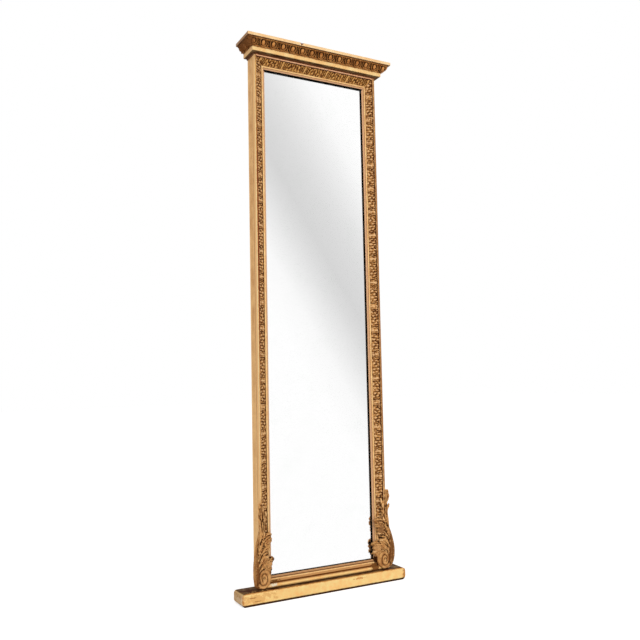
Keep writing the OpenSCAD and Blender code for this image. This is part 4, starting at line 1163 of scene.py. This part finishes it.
for side in ("left", "right"):
    put = bracket(side)
    sections = {}
    outline = np.array([(FRAME_X + p[1] * BULGE[side], BODY_FOOT + p[0] * UP_K) for p in OUTER])

    def on_body(s, t):
        up = t * DRAWN_H
        if up not in sections:
            sections[up] = body_section(up, BULGE[side])
        section = sections[up]
        place = s * (len(section) - 1)
        first = min(int(place), len(section) - 2)
        x, d = section[first].lerp(section[first + 1], place - first)
        return x, BODY_FOOT + up * UP_K, d

    def face(s, t):
        x, z, d = on_body(s, t)
        from_edge = np.sqrt(((outline - (x, z)) ** 2).sum(1)).min()
        flute = (1.0 - abs(sin(pi * from_edge / FLUTE))) ** 1.5
        d -= FLUTE_DEPTH * flute * min(1.0, max(0.0, (FRONT_SHARE - s) / FADE))
        groove = (1.0 - abs(sin(pi * (s - FRONT_SHARE) * 9.0))) ** 2 if s > FRONT_SHARE else 0.0
        x -= SIDE_GROOVE * groove * min(1.0, (1.0 - s) / FADE)
        across, rise = (x - VOLUTE_X) / VOLUTE_A, (z - VOLUTE_Z) / VOLUTE_B
        if hypot(across, rise) < SEAT_SHARE * ribbon_edge(turn_to(across, rise)):
            d = min(d, VOLUTE_SEAT_D)
        return put(x, z, d)

    def back(s, t):
        x, z, d = on_body(s, t)
        return put(min(x, FRAME_X), z, min(d, CARCASS_D))

    mesh = carved_sheet(110, 130, face, back)
    to_piece(side + "_scroll_body", mesh, scroll_gilt, "gilt_scroll", side + "_scroll_body", smooth=60.0,
             relief=(24, 0.0022))

# ---- Volutes ----
# The lower end of each bracket rolls up: its outer flute comes round under the volute, up its
# inner side and over the top, and winds in to a tall oval button.
VOLUTE_RIM_D, VOLUTE_EYE_D, VOLUTE_BACK_D = 0.0672, 0.0716, 0.046
BUTTON, BUTTON_RISE = 0.22, 0.0026
VALLEY, RIBBON_RISE = 0.0026, 0.0052
RIM_SHARE, EDGE_SHARE, BACK_SHARE = 0.7, 0.18, 0.12
EDGE_DROP, EDGE_SWELL = 0.0030, 0.035


def volute_face(share, turn):
    """Depth of the volute's face; share is from its middle to its rim, turn is in whole turns."""
    depth = VOLUTE_RIM_D + (VOLUTE_EYE_D - VOLUTE_RIM_D) * (1.0 - share) ** 0.8
    slim = share * (1.0 + 0.5 * cos(2 * pi * turn) ** 2 * (1.0 - share))
    if slim < BUTTON:
        return depth + BUTTON_RISE * sqrt(1.0 - (slim / BUTTON) ** 2)
    across = max(0.0, (ribbon_edge(turn) - slim) / RIBBON_W) % 1.0
    return depth - VALLEY + RIBBON_RISE * max(0.0, sin(pi * across ** 0.6))


for side in ("left", "right"):
    put = bracket(side)
    mesh = bmesh.new()
    bmesh.ops.create_uvsphere(mesh, u_segments=150, v_segments=110, radius=1.0)
    for vertex in mesh.verts:
        tilt = np.arccos(max(-1.0, min(1.0, vertex.co.z))) / pi
        length = hypot(vertex.co.x, vertex.co.y)
        across, rise = (vertex.co.x / length, vertex.co.y / length) if length > 1e-5 else (0.0, 0.0)
        turn = turn_to(across, rise)
        edge = ribbon_edge(turn)
        if tilt < RIM_SHARE:
            share = tilt / RIM_SHARE * edge
            d = volute_face(share, turn)
        else:
            down = min(1.0, (tilt - RIM_SHARE) / EDGE_SHARE)
            share = min(1.0, (1.0 - tilt) / BACK_SHARE) * (1.0 + EDGE_SWELL * sin(pi * down)) * edge
            d = VOLUTE_RIM_D - EDGE_DROP + (VOLUTE_BACK_D - VOLUTE_RIM_D + EDGE_DROP) * down
        vertex.co = put(VOLUTE_X + across * share * VOLUTE_A, VOLUTE_Z + rise * share * VOLUTE_B, d)
    to_piece(side + "_volute", mesh, scroll_gilt, "gilt_scroll", side + "_volute", smooth=60.0,
             relief=(30, 0.0024))

# ---- Acanthus leaves of the brackets ----
# Each leaf is carved from one block: lobes that spring from the body, each with a groove down
# its face, and veins between them. The low leaf laps over the glass, the rolled one over the
# sight edge, and the tall one stands up the corner of the frame and wraps its side.
MM = 0.001
VOXEL = 0.0010
LOBE_THICK = 0.5
TAPER_FROM = 0.62
TIP_POINTED, TIP_BLUNT = 1.1, 0.5
GROOVE, GROOVE_W = 0.4, 0.30


def lobe(mesh, put, pointed, base, middle, tip, width):
    """One lobe: a ball drawn out along a curve, pointed or blunt. Its places are in millimetres."""
    made = bmesh.ops.create_uvsphere(mesh, u_segments=18, v_segments=26, radius=1.0)["verts"]
    a, b, c = (Vector(p) * MM for p in (base, middle, tip))
    for vertex in made:
        # The ball's axis is bent along the curve; across and up go round its section.
        ring = max(1e-6, hypot(vertex.co.x, vertex.co.y))
        share = 0.5 - 0.5 * cos(pi * np.arccos(max(-1.0, min(1.0, -vertex.co.z))) / pi)
        across, up = vertex.co.x / ring, vertex.co.y / ring
        spine = a * (1 - share) ** 2 + b * (2 * share * (1 - share)) + c * share ** 2
        along = ((b - a) * (1 - share) + (c - b) * share).normalized()
        side = along.cross(Vector((0.0, 0.0, 1.0))).normalized()
        facing = side.cross(along)
        taper = max(0.0, 1.0 - max(0.0, (share - TAPER_FROM) / (1.0 - TAPER_FROM)) ** 2.4)
        swell = min(1.0, 0.35 + 1.3 * share) * taper ** (TIP_POINTED if pointed else TIP_BLUNT)
        full = width * MM / 2 * swell * min(1.0, share / 0.06) ** 0.5 if ring > 1e-5 else 0.0
        full *= 1.0 + 0.16 * cos(share * width * 1.9) * abs(across)
        fluted = 1.0 - GROOVE * exp(-(across / GROOVE_W) ** 2) * min(1.0, 2.2 * share) if up > 0 else 0.6
        spot = spine + side * (across * full) + facing * (up * full * 2 * LOBE_THICK * fluted)
        vertex.co = put(*spot)


def fuse(mesh):
    """Joins overlapping lobes in one carved skin and softens it."""
    data = bpy.data.meshes.new("block")
    mesh.to_mesh(data)
    mesh.free()
    block = bpy.data.objects.new("block", data)
    scene.collection.objects.link(block)
    skin = block.modifiers.new("skin", "REMESH")
    skin.mode = "VOXEL"
    skin.voxel_size = VOXEL
    bpy.context.view_layer.update()
    fused = bmesh.new()
    fused.from_mesh(block.evaluated_get(bpy.context.evaluated_depsgraph_get()).to_mesh())
    bpy.data.objects.remove(block)
    bmesh.ops.smooth_vert(fused, verts=fused.verts, factor=0.5, use_axis_x=True, use_axis_y=True,
                          use_axis_z=True)
    return fused


def cut_veins(mesh, veins, share):
    """Cuts grooves straight back into a carved front, along curves given with a half-width and depth."""
    spots = np.array([(abs(v.co.x) / MM, v.co.z / MM) for v in mesh.verts])
    depths = np.zeros(len(spots))
    for points, width, depth in veins:
        for place in flow(points, 12):
            away = ((spots - place) ** 2).sum(1) / width ** 2
            depths = np.maximum(depths, depth * np.exp(-away))
    mesh.normal_update()
    for vertex, depth in zip(mesh.verts, depths):
        vertex.co.y += MM * share * depth * max(0.0, -vertex.normal.y)


# Veins of the leaves, in millimetres: outwards from the middle of the mirror and up, then a
# half-width and a depth.
VEINS = [
    ([(229, 206), (231, 197), (226, 190), (230, 181), (238, 175), (247, 171), (257, 171)], 2.6, 5.0),
    ([(222, 163), (232, 160), (238, 156), (243, 151)], 2.4, 4.5),
    ([(262, 112), (256, 117), (246, 120)], 1.8, 3.0),
    ([(289, 112), (284, 125), (277, 138), (268, 150), (261, 160)], 2.2, 3.5),
    ([(286, 160), (279, 177), (270, 190), (260, 202)], 2.2, 3.5),
    ([(265, 224), (258, 233), (250, 238), (236, 238)], 2.4, 4.0),
    ([(287, 205), (279, 219), (270, 229)], 2.2, 4.0),
    ([(252, 226), (244, 222), (236, 226)], 1.8, 2.6),
    ([(258, 214), (248, 208), (236, 212)], 1.8, 2.6),
    ([(262, 186), (256, 192), (246, 196)], 1.8, 2.6),
    ([(258, 347), (255, 338), (253, 326)], 2.2, 4.5),
    ([(246, 326), (250, 311), (255, 298), (258, 284)], 2.2, 4.5),
    ([(270, 349), (268, 330), (267, 312)], 1.9, 3.6),
    ([(278, 352), (277, 332), (275, 314)], 1.6, 3.0),
    ([(265, 300), (266, 282), (264, 262)], 1.8, 3.4),
    ([(274, 300), (273, 276), (272, 252)], 1.8, 3.2),
    ([(248, 262), (253, 249), (259, 238)], 2.0, 4.0),
    ([(257, 268), (263, 252), (270, 238)], 1.8, 3.2)]
# The left tall leaf is cut with longer, straighter veins as well.
LEFT_VEINS = [
    ([(273, 354), (271, 328), (267, 302), (264, 276), (263, 250)], 1.7, 4.0),
    ([(265, 338), (261, 314), (258, 290), (256, 266), (258, 244)], 1.7, 4.0),
    ([(280, 340), (278, 312), (274, 284), (271, 256)], 1.7, 3.6),
    ([(258, 322), (254, 300), (252, 276), (253, 254)], 1.6, 3.6)]
# Each lobe's base, middle, tip and width in millimetres: outwards from the middle of the mirror,
# up, and forward of the wall.
LEAVES = {
    "low_leaf": [
        ((276, 128, 71), (242, 164, 69), (210, 142, 44), 22),
        ((266, 122, 70), (242, 146, 66), (216, 128, 47), 17),
        ((262, 116, 70), (240, 126, 62), (213, 107, 46), 20),
        ((252, 114, 68), (240, 110, 60), (223, 96, 53), 13),
        ((240, 136, 56), (230, 130, 52), (220, 122, 50), 28),
        ((246, 112, 64), (240, 100, 60), (233, 89, 60), 9),
        ((292, 120, 72), (278, 154, 78), (246, 158, 70), 12),
        ((284, 110, 72), (270, 138, 77), (246, 138, 70), 11),
        ((250, 140, 62), (240, 132, 60), (228, 124, 56), 24)],
    "rolled_leaf": [
        ((272, 210, 70), (254, 250, 74), (225, 234, 50), 22),
        ((268, 196, 70), (248, 226, 74), (226, 220, 54), 22),
        ((278, 220, 70), (266, 246, 74), (250, 246, 66), 12),
        ((270, 184, 71), (252, 208, 74), (231, 202, 60), 13),
        ((276, 172, 72), (258, 204, 80), (233, 187, 62), 15),
        ((274, 158, 72), (264, 182, 78), (247, 176, 70), 9),
        ((280, 146, 72), (262, 176, 79), (241, 160, 64), 14),
        ((288, 150, 73), (280, 180, 76), (268, 194, 72), 12),
        ((286, 176, 72), (278, 204, 75), (266, 218, 71), 12),
        ((262, 190, 62), (252, 212, 62), (242, 226, 56), 24),
        ((270, 140, 64), (260, 160, 66), (250, 176, 60), 22)],
    "tall_leaf": [
        ((270, 296, 71), (273, 334, 77), (276, 364, 71), 12),
        ((275, 300, 72), (279, 334, 78), (283, 362, 73), 9),
        ((277, 304, 72), (281, 326, 77), (287, 344, 74), 9),
        ((274, 270, 72), (279, 292, 77), (287, 306, 74), 11),
        ((276, 244, 72), (276, 262, 75), (277, 280, 71), 8),
        ((265, 280, 71), (261, 318, 76), (267, 348, 70), 8),
        ((264, 262, 71), (259, 302, 74), (251, 328, 66), 9),
        ((262, 258, 70), (258, 280, 72), (252, 296, 65), 8),
        ((264, 248, 70), (260, 266, 72), (253, 282, 66), 7),
        ((266, 236, 70), (262, 254, 72), (254, 269, 66), 8),
        ((288, 186, 72), (276, 240, 79), (268, 292, 75), 8),
        ((284, 206, 72), (276, 250, 77), (273, 306, 74), 8),
        ((278, 216, 71), (267, 248, 77), (265, 280, 73), 7),
        ((286, 196, 66), (279, 234, 67), (275, 262, 66), 12),
        ((276, 250, 64), (276, 300, 66), (277, 348, 64), 14),
        ((272, 232, 64), (270, 280, 66), (272, 338, 66), 14)]}
# The left leaves are cut less deep, and the low one stays closer to its bracket near its foot.
LEFT_CUT = 0.65
ROUGH_CUT, ROUGHNESS = 0.0006, 0.0009
TUCK, TUCK_FROM, TUCK_UNDER = 0.45, 0.232, 0.138
for side in ("left", "right"):
    for leaf_name, lobes in LEAVES.items():
        mesh = bmesh.new()
        for base, middle, tip, width in lobes:
            lobe(mesh, bracket(side), leaf_name == "low_leaf", base, middle, tip, width)
        node = side + "_" + leaf_name
        mesh = fuse(mesh)
        cut_veins(mesh, VEINS, 1.0 if side == "right" else LEFT_CUT)
        if side == "left":
            cut_veins(mesh, LEFT_VEINS, 1.0)
        mesh.normal_update()
        for vertex in mesh.verts:
            rough = noise.fractal(vertex.co * 120.0, 1.0, 2.0, 2)
            vertex.co -= vertex.normal * (ROUGH_CUT + ROUGHNESS * rough)
            if node == "left_low_leaf" and vertex.co.z < TUCK_UNDER:
                vertex.co.x -= TUCK * max(0.0, vertex.co.x + TUCK_FROM)
        to_piece(node, mesh, scroll_gilt, "gilt_scroll", node, smooth=70.0, relief=(26, 0.0020))

# ---- Size of the finished mirror ----
low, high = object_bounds()
